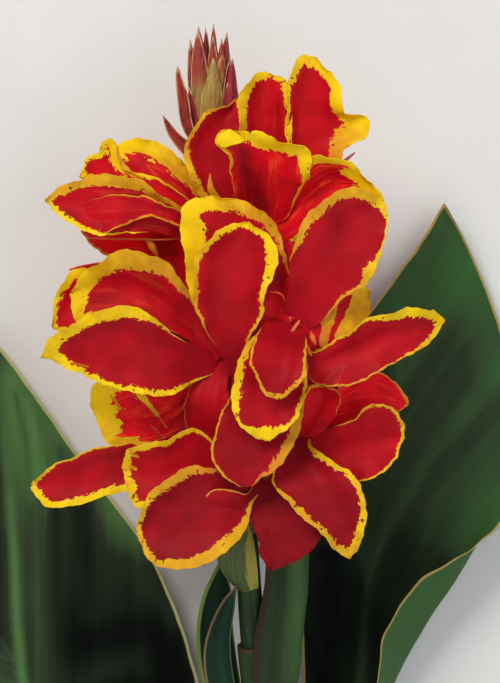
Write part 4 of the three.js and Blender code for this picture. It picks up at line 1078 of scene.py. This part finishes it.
def add_sheath(mesh, centres, inner, sides):
    """Adds the tube of a leaf's base: outer rings one way, inner rings back, and joined at both ends."""
    there = rings_round(centres, inner + SHEATH_THICKNESS, sides, 0)
    back = rings_round(centres, inner, sides)[::-1]
    rings = np.concatenate([there, back])
    run = lengths(centres)
    blade, rim = ring_marks(rings, np.concatenate([run, run[::-1]]))
    faces = ring_faces(len(rings) + 1, sides) % (len(rings) * sides)
    mesh.add(rings.reshape(-1, 3), faces, blade, rim, (1.0, 1.0, 0.0), (PLAIN_LIGHT, 0.0, 0.0))


# ---- The stem ----


def stem_points(ys):
    """Points of the stem's axis at lengths y along the shoot."""
    line = walk([station[:3] for station in STEM], np.linspace(0, 1, STEM_STEPS))
    return columns_at(ys, line[:, 1], line)


def stem_radius(y):
    return np.interp(y, [station[1] for station in STEM], [station[3] for station in STEM])


def make_stem():
    mesh = Mesh()
    foot, top = STEM[0][1], STEM[-1][1]
    ys = np.concatenate([foot + CUT_DEPTHS, np.linspace(foot + PLAIN_STEM_START, top, STEM_RINGS)])
    radii = stem_radius(ys)
    radii[:len(CUT_SHARES)] *= CUT_SHARES
    share = np.repeat(radii / stem_radius(ys), STEM_SIDES)
    cut = np.repeat(np.where(ys < foot + CUT_DEPTHS[-1], 1.0, 0.0), STEM_SIDES)
    rim = np.stack([np.full_like(share, FAR_INSIDE), share, cut], axis=-1)
    add_bar(mesh, stem_points(ys), radii, STEM_SIDES, (0.0, 0.0), rim)
    mesh.place("stem_surface", materials["stem"], "stem", "stem")


# ---- Flowers ----


def flower_axis(node, throat):
    """Where a flower's foot sits on the stem, the way it points, and its throat."""
    node, throat = np.array(node, float), np.array(throat, float)
    direction = unit(throat - node)
    depth = (stem_radius(node[1]) + SEAT_GAP) / math.hypot(direction[0], direction[2])
    return node + direction * depth, direction, throat


def add_stamen(mesh, line, radii, tint, rng):
    rings, sides = STAMEN_GRID
    shares = np.linspace(0, 1, rings)
    blunt = np.sqrt(np.maximum(1 - shares**STAMEN_BLUNTNESS, STAMEN_TIP))
    radii = np.interp(shares, np.linspace(0, 1, len(radii)), radii) * blunt
    add_bar(mesh, walk(line, shares), radii, sides, (tint, 0.5), ALL_YELLOW, rng.uniform(0, SEED_SPAN))


def make_flower(name, places, rng):
    foot, direction, throat = flower_axis(*places)
    mesh = Mesh()
    rings, sides = TUBE_GRID
    tube = between(foot + direction * (OVARY_LENGTH + SEAT_GAP), throat - direction * TUBE_DROP, rings)
    radii = np.linspace(TUBE_RADIUS, THROAT_RADIUS, rings)
    radii[-len(TUBE_TAPER):] *= TUBE_TAPER
    add_bar(mesh, tube, radii, sides, (0.0, 0.0), ALL_RED, rng.uniform(0, SEED_SPAN))
    for petal in PETALS:
        if petal.flower == name:
            add_petal(mesh, petal, places[1], rng)
    for flower, line, radii, tint in STAMENS:
        if flower == name:
            add_stamen(mesh, line, radii, tint, rng)
    mesh.place(f"petals_{name}", materials["petal"], "petal", f"flower_{name}")


def warts(rows, sides, length, girth, rng):
    """How far an ovary's warty skin stands out, at each of its points."""
    run = np.linspace(0, length, rows)[:, None]
    turn = np.linspace(0, girth, sides, endpoint=False)[None]
    height = np.zeros((rows, sides))
    for _ in range(WART_COUNT):
        away_along = run - rng.uniform(*WART_SPAN) * length
        away_round = (turn - rng.uniform(0, girth) + girth / 2) % girth - girth / 2
        height += WART_HEIGHT * np.exp(-(away_along**2 + away_round**2) / WART_RADIUS**2)
    return np.minimum(height, WART_PILE * WART_HEIGHT)


def cone_blade(base, direction, angle, stations):
    """Rails of a narrow blade beside an axis. Each station is (along, lift, half width, edge drop)."""
    side = unit(np.cross(direction, [0, 0, 1.0]))
    up = np.cross(direction, side)
    out = side * math.cos(angle) + up * math.sin(angle)
    across = np.cross(direction, out)
    rails = []
    for way in (-1, 0, 1):
        rails.append([
            base + direction * along + out * (lift - abs(way) * drop) + across * way * half
            for along, lift, half, drop in stations
        ])
    return rails


def add_green_blade(mesh, rails, rng, kind, thickness=GREEN_THICKNESS, grid=GREEN_GRID):
    """Adds a narrow green blade. kind is which blade it is, and where it turns from gold to red."""
    columns = edge_spacing(grid[1])
    sheet = loft(rails, np.linspace(0, TIP_SHARE, grid[0]), columns)
    distance, place, _ = nearest_rim(sheet)
    across, along = across_and_along(sheet, columns)
    add_blade(
        mesh, sheet, facing(sheet), thinned(thickness, distance, *GREEN_THINNING),
        (across, along, rng.uniform(0, SEED_SPAN)), (distance, columns[None], along / along.max()),
        kind, (PLAIN_LIGHT, place, 0.0),
    )


def calyx_stations(lift, length, stations):
    """The stations of a blade beside a flower's axis, from its root on."""
    return [(CALYX_START, lift, 0, 0), *[(length * share, *rest) for share, *rest in stations]]


def make_calyx(name, places, rng):
    foot, direction, throat = flower_axis(*places)
    mesh = Mesh()
    rows, sides = OVARY_GRID
    top = foot + direction * OVARY_LENGTH
    radii = np.interp(np.linspace(0, 1, rows), *zip(*OVARY_RADII))[:, None]
    radii = radii * OVARY_SKIN + warts(rows, sides, OVARY_LENGTH, TURN * OVARY_RADIUS, rng)
    add_bar(mesh, between(foot, top, rows), radii, sides, (0.0, 0.0), seed=rng.uniform(0, SEED_SPAN))
    reach = np.linalg.norm(throat - top) * GREEN_PETAL_REACH
    green_petal = calyx_stations(GREEN_PETAL_LIFT, reach, GREEN_PETAL_STATIONS)
    sepal = calyx_stations(SEPAL_LIFT, min(reach * SEPAL_SHARE, SEPAL_LENGTH), SEPAL_STATIONS)
    for k in range(3):
        angle = GREEN_PETAL_START + TURN * k / 3
        add_green_blade(mesh, cone_blade(top, direction, angle, green_petal), rng, (1.0, 0.0))
        rails = cone_blade(top, direction, angle + TURN / 6, sepal)
        add_green_blade(mesh, rails, rng, (2.0, 0.0), SEPAL_THICKNESS)
    mesh.place(f"calyx_surface_{name}", materials["calyx"], "calyx", f"calyx_{name}")


# ---- Leaves, bracts and buds ----


def leaf_waves(leaf, row, column, distance, run, along, from_rib, vein, rng):
    """How far a leaf's sheet stands off its rails: its waves, ripples and pleats."""
    sideways = np.where(column > 0.5, SIDE_LAG, 0) + leaf["tip"][1]
    turn = TURN * along.max() * row / LEAF_WAVE_LENGTH + sideways
    wave = LEAF_WAVE * np.abs(2 * column - 1) ** EDGE_POWER * np.minimum(1, row / CALM_SHARE) * np.sin(turn)
    near_edge = np.exp(-distance / LEAF_RIPPLE_REACH) * smooth_step(*LEAF_RIPPLE_START, row)
    wave = wave + near_edge * ripple(run, LEAF_RIPPLES, rng)
    pleats = smooth_step(*PLEATS_FROM_RIB, np.abs(from_rib)) * smooth_step(*PLEATS_FROM_RIM, distance)
    pleats = pleats * smooth_step(*PLEATS_START, row)
    return wave + PLEAT_HEIGHT * pleats * np.sin(TURN * vein / PLEAT_LENGTH)


def make_leaf(name, leaf, rng):
    mesh = Mesh()
    rails = [[*rail, leaf["tip"]] for rail in leaf["rails"]]
    rows = np.linspace(0, LEAF_TIP_SHARE, LEAF_GRID[0])
    columns = edge_spacing(LEAF_GRID[1])
    row, column = np.meshgrid(rows, columns, indexing="ij")
    rib_column = 1 / (len(rails) - 1)
    sheet = loft(rails, rows, columns)
    distance, place, run = nearest_rim(sheet)
    rib = loft(rails, rows, np.array([rib_column, rib_column + 0.01]))[:, :1]
    along = np.broadcast_to(lengths(rib[:, 0])[:, None], distance.shape)
    from_rib = np.linalg.norm(sheet - rib, axis=2) * np.sign(column - rib_column)
    by_rib, by_edge = leaf["slopes"]
    outward = np.abs(from_rib)
    vein = along - by_edge * outward - (by_rib - by_edge) * VEIN_BEND * (1 - np.exp(-outward / VEIN_BEND))
    ridge = np.exp(-((from_rib / (MIDRIB_WIDTH * (MIDRIB_TAPER - row))) ** 2)) * (1 - row)
    out = facing(sheet)
    wave = leaf_waves(leaf, row, column, distance, run, along, from_rib, vein, rng) - GROOVE_DEPTH * ridge
    sheet = sheet + out * wave[..., None]
    thickness = thinned(LEAF_THICKNESS, distance, *LEAF_THINNING)
    sheet[..., 2] = np.maximum(sheet[..., 2], thickness / 2)
    add_blade(
        mesh, sheet, out, thickness, (from_rib, along, rng.uniform(0, SEED_SPAN)), (distance, vein, row),
        (0.0, 0.0), (painted(sheet, BASE_LIGHT, leaf["light"]), place, 0.0), MIDRIB_DEPTH * ridge,
    )
    mesh.points[-1][:, 2] = np.maximum(mesh.points[-1][:, 2], 0)
    ys = np.linspace(*leaf["sheath"], SHEATH_RINGS)
    add_sheath(mesh, stem_points(ys), stem_radius(ys) + SEAT_GAP, STEM_SIDES)
    mesh.place(f"{name}_surface", materials[name], "leaf", name)


def make_bract(name, slot, rails, tip, rng):
    mesh = Mesh()
    add_green_blade(mesh, [[*rail, tip] for rail in rails], rng, (0.0, 0.0), grid=BRACT_GRID)
    mesh.place(f"{name}_surface", materials[name], slot, name)


def make_buds(rng):
    mesh = Mesh()
    rings, sides = BUD_GRID
    profile = np.interp(np.linspace(0, 1, rings), *zip(*BUD_PROFILE))
    for root, tip, radius, ripe in BUDS:
        root, tip = np.array(root, float), np.array(tip, float)
        radii = BUD_CORE * radius * profile
        add_bar(mesh, between(root, tip, rings), radii, sides, (0.0, ripe), seed=rng.uniform(0, SEED_SPAN))
        direction = unit(tip - root)
        length = np.linalg.norm(tip - root)
        start = FRONT_SEPAL + rng.uniform(-BUD_TWIST, BUD_TWIST)
        for k in range(BUD_SEPALS):
            reach = length * rng.uniform(*BUD_SEPAL_REACH)
            stations = [(reach * along, *(radius * np.array(rest))) for along, *rest in BUD_SEPAL_STATIONS]
            rails = cone_blade(root, direction, start + TURN * k / BUD_SEPALS, stations)
            add_green_blade(mesh, rails, rng, (1.0, ripe), SEPAL_THICKNESS, SEPAL_GRID)
    for root, rails, tip, ripe in BUD_BRACTS:
        rails = [[root, *rail, tip] for rail in rails]
        add_green_blade(mesh, rails, rng, (2.0, ripe), grid=BUD_BRACT_GRID)
    mesh.place("buds_surface", materials["bud"], "bud", "buds")


# ---- Materials ----


def colour(red, green, blue):
    """An sRGB colour, 0 to 255, as the linear one that shaders take."""
    shares = [value / 255 for value in (red, green, blue)]
    return (*[s / 12.92 if s <= 0.04045 else ((s + 0.055) / 1.055) ** 2.4 for s in shares], 1.0)


class Wire:
    """An output of a node. What is done with it adds a node, and gives that node's output."""

    def __init__(self, shader, socket):
        self.shader = shader
        self.socket = socket

    def __add__(self, other):
        return self.shader.math("ADD", self, other)

    def __radd__(self, other):
        return self.shader.math("ADD", other, self)

    def __sub__(self, other):
        return self.shader.math("SUBTRACT", self, other)

    def __mul__(self, other):
        return self.shader.math("MULTIPLY", self, other)

    def ramp(self, low, high, **settings):
        """0 below low and 1 above high, straight between."""
        inputs = {"Value": self, "From Min": low, "From Max": high}
        return self.shader.node("ShaderNodeMapRange", inputs, **settings)

    def step(self, low, high):
        """0 below low and 1 above high, or the other way round, smooth between."""
        return self.ramp(low, high, interpolation_type="SMOOTHSTEP")

    def mix(self, first, second):
        """The first colour where this is 0 and the second where it is 1."""
        return self.shader.blend(self, first, second)


class Shader:
    """A material built node by node. Most methods add a node and return its output."""

    def __init__(self, name, **constants):
        self.material = bpy.data.materials.new(name)
        self.material.use_nodes = True
        self.tree = self.material.node_tree
        self.surface = self.tree.nodes["Principled BSDF"].inputs
        for socket, value in constants.items():
            self.surface[socket.replace("_", " ")].default_value = value

    def node(self, kind, inputs, output=0, **settings):
        node = self.tree.nodes.new(kind)
        for name, value in settings.items():
            setattr(node, name, value)
        for key, value in inputs.items():
            self.feed(node.inputs[key], value)
        return Wire(self, node.outputs[output])

    def feed(self, socket, value):
        if isinstance(value, Wire):
            self.tree.links.new(value.socket, socket)
        else:
            socket.default_value = value

    def mark(self, name):
        """The three numbers of a mark that the mesh carries."""
        vector = self.node("ShaderNodeAttribute", {}, "Vector", attribute_name=name)
        return [self.node("ShaderNodeSeparateXYZ", {0: vector}, axis) for axis in "XYZ"]

    def math(self, operation, first, second=0.0):
        return self.node("ShaderNodeMath", {0: first, 1: second}, operation=operation)

    def vector(self, x, y, z):
        return self.node("ShaderNodeCombineXYZ", {0: x, 1: y, 2: z})

    def noise(self, place, scale, detail=2.0, swing=1.0):
        """Noise from -swing to swing, mostly within half of that."""
        value = self.node("ShaderNodeTexNoise", {"Vector": place, "Scale": scale, "Detail": detail})
        return (value - 0.5) * (2.0 * swing)

    def blend(self, factor, first, second, **settings):
        inputs = {0: factor, 6: first, 7: second}
        return self.node("ShaderNodeMix", inputs, 2, data_type="RGBA", **settings)

    def product(self, first, second):
        """One colour times another, no brighter than white."""
        return self.blend(1.0, first, second, blend_type="MULTIPLY", clamp_result=True)

    def bump(self, height, depth):
        """Relief of this depth, in metres, where height runs from 0 to 1."""
        inputs = {"Height": height, "Distance": depth, "Strength": 1.0}
        self.feed(self.surface["Normal"], self.node("ShaderNodeBump", inputs))

    def finish(self, base):
        self.feed(self.surface["Base Color"], base)
        return self.material


OTHER_YELLOWS = (  # what a petal's yellow, a filament or an anther turns to as its ochre passes a threshold
    (1.0, colour(222, 112, 44)),
    (2.0, colour(232, 140, 104)),
    (3.0, colour(120, 22, 34)),
)


def petal_material():
    """Petal red with a yellow rim. Its border is ragged, and flames of yellow run in from it."""
    shader = Shader(
        "petal", Roughness=0.55, Subsurface_Weight=0.08, Subsurface_Scale=0.002, Specular_IOR_Level=0.12
    )
    across, along, seed = shader.mark("blade")
    inner, width, column = shader.mark("rim")
    side, ochre, row = shader.mark("kind")
    tone, flame, veined = shader.mark("tone")
    skin = shader.vector(across, along, seed)
    stretched = shader.vector(across, along * 0.6, seed)
    streaks = shader.noise(shader.vector(column * 50.0, along * 0.04, seed), 1.0, 3.0)
    strokes = shader.noise(shader.vector(column * 9.0, along * 0.05, seed), 1.0, 2.0, 2.0)
    patches = shader.noise(skin, 0.06, 2.0)

    room = shader.math("MINIMUM", width * 0.4, 1.0)
    lobes = shader.noise(stretched, 0.22, 1.0, 1.5) + shader.noise(stretched, 0.75, 1.0, 1.9)
    border = lobes + shader.noise(skin, 2.0, 1.0, 0.9) + strokes * flame
    is_red = (inner + room * border).step(-0.16, 0.16)
    is_red = shader.math("MAXIMUM", is_red, width.step(0.3, 0.08))
    flecks = shader.noise(skin, 0.42, 1.0).step(0.335, 0.385) * (inner.step(-3.4, -1.2) * room)

    lightness = (0.5 + streaks * 0.25 + patches).step(0.0, 1.0)
    dark_vein = (strokes + patches).step(0.05, -0.5) * (veined * 0.25)
    light_vein = (strokes + streaks).step(0.25, 0.8) * (veined * 0.5)
    red = lightness.mix(colour(160, 8, 18), colour(190, 12, 28))
    red = dark_vein.mix(red, colour(96, 8, 26))
    red = light_vein.mix(red, colour(222, 84, 42))
    # Painted light: towards the root the red turns lighter and less deep, lifting the throat where the
    # petals lie in shade
    painted_throat_light = row.step(0.3, 0.0)
    red = painted_throat_light.mix(red, colour(182, 18, 36))
    red = side.mix(colour(206, 58, 36), red)
    # Painted light and shade: tone scales the red, and its green and blue less, so painted shade turns the
    # red maroon
    calmer = 0.6 + tone * 0.4
    red = shader.product(red, shader.vector(tone, calmer, calmer))

    # Deeper yellow by each margin's ochre, with noise: partly the yellow's own deeper colour where a margin
    # rolls or folds, partly painted shade where it lies in shade
    ochre_and_shade = ochre + shader.noise(skin, 0.22, 2.0, 0.5)
    yellow = ochre_and_shade.step(0.0, 1.0).mix(colour(250, 208, 16), colour(222, 156, 32))
    for threshold, tint in OTHER_YELLOWS:
        yellow = ochre.step(threshold, threshold + 0.5).mix(yellow, tint)
    yellow = side.mix(colour(232, 164, 52), yellow)
    yellow = flecks.mix(yellow, colour(134, 66, 18))
    shader.bump(streaks * 0.4 + shader.noise(skin, 2.2, 2.0, 0.25), 0.00012)
    return shader.finish(is_red.mix(yellow, red))


# Leaf colours in sRGB: in shade, middling, in light, underneath and on the midrib. Then the colour and the
# width in mm of the left edge and of the right. A pinnate leaf's veins run outward, another's lengthwise.
LEAF_LOOKS = {
    "leaf_left": (True, (4, 7, 4), (47, 58, 39), (80, 118, 64), (80, 112, 66), (84, 118, 68),
                  (158, 146, 90), 0.8, (166, 162, 108), 1.4),
    "leaf_right": (True, (2, 5, 2), (51, 66, 44), (54, 98, 48), (66, 104, 56), (54, 84, 44),
                   (172, 146, 82), 1.0, (172, 146, 82), 1.1),
    # leaf_upper's wide dark left edge is its in-rolled margin together with painted shade that lies in it
    "leaf_upper": (False, (36, 46, 30), (50, 66, 42), (70, 100, 56), (84, 118, 70), (62, 88, 50),
                   (58, 46, 36), 3.2, (92, 134, 82), 1.5),
    "leaf_small_back": (False, (14, 30, 22), (22, 42, 32), (42, 70, 48), (60, 90, 60), (46, 76, 52),
                        (120, 142, 66), 1.7, (120, 142, 66), 0.6),
    "leaf_small_front": (False, (14, 28, 22), (24, 42, 32), (44, 72, 50), (60, 90, 60), (40, 68, 48),
                         (126, 98, 74), 1.0, (64, 96, 64), 0.8),
}


def leaf_material(name, pinnate, shade, middling, light, under, rib, left, left_width, right, right_width):
    """Leaf green, from shade to light by its strokes and striped along its veins, with coloured edges."""
    shader = Shader(name, Roughness=0.55, Specular_IOR_Level=0.06)
    from_rib, along, seed = shader.mark("blade")
    distance, vein, row = shader.mark("rim")
    side, sheath, _ = shader.mark("kind")
    lightness, place, _ = shader.mark("tone")
    skin = shader.vector(from_rib, along, seed)
    if pinnate:
        lines = shader.vector(vein, from_rib * 0.03, seed)
    else:
        lines = shader.vector(from_rib, along * 0.02, seed)
    spacing = 1.0 if pinnate else 5.0
    bands = shader.noise(lines, 0.03 * spacing, 2.0, 0.35)
    fine = shader.noise(lines, 0.25 * spacing, 2.0, 0.07)
    veins = bands + fine + shader.noise(skin, 0.012, 2.0, 0.15)

    lightness = lightness + veins * lightness.step(-0.2, 0.4)
    green = lightness.ramp(0.0, 0.5).mix(colour(*shade), colour(*middling))
    green = lightness.ramp(0.4, 1.0).mix(green, colour(*light))
    near_rib = shader.math("ABSOLUTE", from_rib).step(2.0, 0.5)
    green = (near_rib * (lightness * 0.25)).mix(green, colour(*rib))
    striped = shader.blend(0.4, colour(*under), colour(*middling))
    green = side.mix(veins.step(0.3, -0.3).mix(colour(*under), striped), green)

    on_right = place.step(0.98, 1.02)
    edge_width = left_width + on_right * (right_width - left_width)
    inside = distance + shader.noise(skin, 0.2, 2.0, 0.3) - edge_width
    surface = inside.step(0.3, -0.3).mix(green, on_right.mix(colour(*left), colour(*right)))
    mouth = sheath * row.step(0.965, 0.985)
    shader.bump(fine * 0.8 + shader.noise(skin, 1.5, 2.0, 0.15), 0.00015)
    return shader.finish(mouth.mix(surface, colour(84, 62, 44)))


def stem_material():
    """Green skin with lengthwise lines, and pale flesh at the cut."""
    shader = Shader("stem", Roughness=0.55, Specular_IOR_Level=0.12)
    around, along, seed = shader.mark("blade")
    _, share, cut = shader.mark("rim")
    lines = shader.noise(shader.vector(around, along * 0.02, seed), 0.9, 3.0)
    patches = shader.noise(shader.vector(around, along, seed), 0.03, 3.0)
    skin = (0.5 + lines + patches).step(0.0, 1.0).mix(colour(34, 46, 28), colour(58, 76, 44))
    flesh = share.step(0.62, 0.9).mix(colour(214, 212, 168), colour(150, 168, 104))
    shader.bump(lines, 0.0003)
    return shader.finish(cut.mix(skin, flesh))


def calyx_material():
    """A brown warty ovary, green petals that redden towards their tips, and dry sepals."""
    shader = Shader("calyx", Roughness=0.5, Specular_IOR_Level=0.4)
    across, along, seed = shader.mark("blade")
    _, _, share = shader.mark("rim")
    _, blade, _ = shader.mark("kind")
    skin = shader.vector(across, along, seed)
    lines = shader.noise(shader.vector(across, along * 0.06, seed), 1.6, 3.0)
    ovary = shader.noise(skin, 1.3, 3.0).step(-0.4, 0.4).mix(colour(92, 62, 38), colour(142, 96, 62))
    flush = (share + lines).step(0.1, 0.9)
    green_petal = flush.mix(colour(128, 140, 70), colour(170, 74, 48))
    sepal = flush.mix(colour(148, 118, 70), colour(150, 84, 66))
    blades = blade.step(1.4, 1.6).mix(green_petal, sepal)
    shader.bump(lines + shader.noise(skin, 3.0, 2.0, 0.3), 0.0002)
    return shader.finish(blade.step(0.4, 0.6).mix(ovary, blades))


def bud_material():
    """Gold below and red above, by each bud's ripeness; its sepals have a pale edge here and there, partly
    their own margin and partly painted highlight, and every tip a painted highlight.
    """
    shader = Shader("bud", Roughness=0.5, Specular_IOR_Level=0.3)
    across, along, seed = shader.mark("blade")
    distance, _, share = shader.mark("rim")
    _, blade, ripe = shader.mark("kind")
    lines = shader.noise(shader.vector(across, along * 0.08, seed), 1.2, 3.0)
    soft = shader.noise(shader.vector(across, along, seed), 0.16, 2.0, 0.5)
    turned = (share - ripe + lines * 0.3 + soft * 0.2).step(-0.16, 0.12)
    gold = lines.step(-0.5, 0.5).mix(colour(138, 104, 44), colour(182, 154, 74))
    red = (lines + soft).step(-0.5, 0.5).mix(colour(112, 32, 32), colour(178, 62, 46))
    magenta = lines.step(-0.4, 0.4).mix(colour(128, 24, 40), colour(168, 40, 58))
    body = ripe.step(0.0, -0.4).mix(turned.mix(gold, red), magenta)
    whole = (soft + lines * 0.5).step(-0.25, 0.1)
    edge = distance.step(0.75, 0.15) * whole * blade.step(0.2, 0.3)
    # Painted highlight: cream at every tip, and on edges here and there, where it is also the sepals' own
    # pale margin
    pale = shader.math("MAXIMUM", edge * 0.85, share.step(0.9, 0.99) * 0.6)
    shader.bump(lines, 0.0002)
    return shader.finish(pale.mix(body, colour(226, 192, 146)))


def bract_material():
    """Olive, with a yellow stripe down one side that has brown specks."""
    shader = Shader("bract", Roughness=0.55, Specular_IOR_Level=0.3)
    across, along, seed = shader.mark("blade")
    _, column, _ = shader.mark("rim")
    lines = shader.noise(shader.vector(across, along * 0.05, seed), 1.2, 3.0)
    body = lines.step(-0.5, 0.5).mix(colour(66, 78, 40), colour(92, 102, 54))
    stripe = (column + lines * 0.15).step(0.62, 0.72)
    specks = stripe * shader.noise(shader.vector(across, along, seed), 0.9, 1.0).step(0.3, 0.42)
    body = stripe.mix(body, colour(160, 150, 58))
    shader.bump(lines, 0.0002)
    return shader.finish(specks.mix(body, colour(140, 96, 46)))


def floor_material():
    shader = Shader("floor", Roughness=0.9)
    place = shader.node("ShaderNodeTexCoord", {}, "Object")
    grain = shader.noise(place, 30.0, 3.0, 0.5)
    return shader.finish(grain.step(-1.0, 1.0).mix(colour(222, 220, 214), colour(232, 230, 225)))


materials = {
    "petal": petal_material(),
    "stem": stem_material(),
    "calyx": calyx_material(),
    "bud": bud_material(),
    "bract": bract_material(),
    **{name: leaf_material(name, *look) for name, look in LEAF_LOOKS.items()},
}


# ---- The stage, in metres ----

HEAD_CENTRE = (0, 0.42, 0.06)
FLOOR_HALF = 4.0
FLOOR_DROP = 0.0002  # below the surface that the shoot rests on
LIGHTS = {  # where each area light is, its size, its power and its tint
    "key": ((-0.55, 1.35, 1.35), 0.7, 19, (1.0, 0.97, 0.92)),
    "fill": ((0.9, 0.2, 1.3), 1.4, 8, (0.92, 0.96, 1.0)),
    "low": ((-0.3, -0.9, 0.9), 1.2, 4, (1.0, 1.0, 1.0)),
}
SKY = (0.85, 0.9, 1.0, 1)
SKY_STRENGTH = 0.34


def add_object(name, data):
    thing = bpy.data.objects.new(name, data)
    bpy.context.scene.collection.objects.link(thing)
    return thing


def make_light(name, location, size, power, tint):
    data = bpy.data.lights.new(name, "AREA")
    data.size = size
    data.energy = power
    data.color = tint
    light = add_object(name, data)
    light.location = location
    light.rotation_mode = "QUATERNION"
    direction = np.array(HEAD_CENTRE) - location
    light.rotation_quaternion = Vector(direction).to_track_quat("-Z", "Y")


def make_floor():
    data = bpy.data.meshes.new("floor")
    corners = ((-1, -1), (1, -1), (1, 1), (-1, 1))
    data.from_pydata([(x * FLOOR_HALF, y * FLOOR_HALF, -FLOOR_DROP) for x, y in corners], [], [(0, 1, 2, 3)])
    data.materials.append(floor_material())
    add_object("floor", data)


def make_camera():
    data = bpy.data.cameras.new("camera")
    data.sensor_width = SENSOR
    data.lens = SENSOR * (CAMERA_HEIGHT - VIEW_PLANE) / (PICTURE_SIZE[1] * PIXEL)
    data.clip_start = 0.05
    data.clip_end = 20
    camera = add_object("camera", data)
    camera.location = (0, PICTURE_MIDDLE * MM, CAMERA_HEIGHT * MM)
    bpy.context.scene.camera = camera


def make_world():
    world = bpy.data.worlds.new("world")
    world.use_nodes = True
    background = world.node_tree.nodes["Background"]
    background.inputs["Color"].default_value = SKY
    background.inputs["Strength"].default_value = SKY_STRENGTH
    bpy.context.scene.world = world
    bpy.context.scene.view_settings.view_transform = "Standard"


make_stem()
for number, (name, places) in enumerate(FLOWERS.items()):
    make_flower(name, places, np.random.default_rng([SEED, 0, number]))
    make_calyx(name, places, np.random.default_rng([SEED, 1, number]))
for number, (name, leaf) in enumerate(LEAVES.items()):
    make_leaf(name, leaf, np.random.default_rng([SEED, 2, number]))
for number, (name, bract) in enumerate(BRACTS.items()):
    make_bract(name, *bract, np.random.default_rng([SEED, 3, number]))
make_buds(np.random.default_rng([SEED, 4]))

make_floor()
make_camera()
make_world()
for name, light in LIGHTS.items():
    make_light(name, *light)
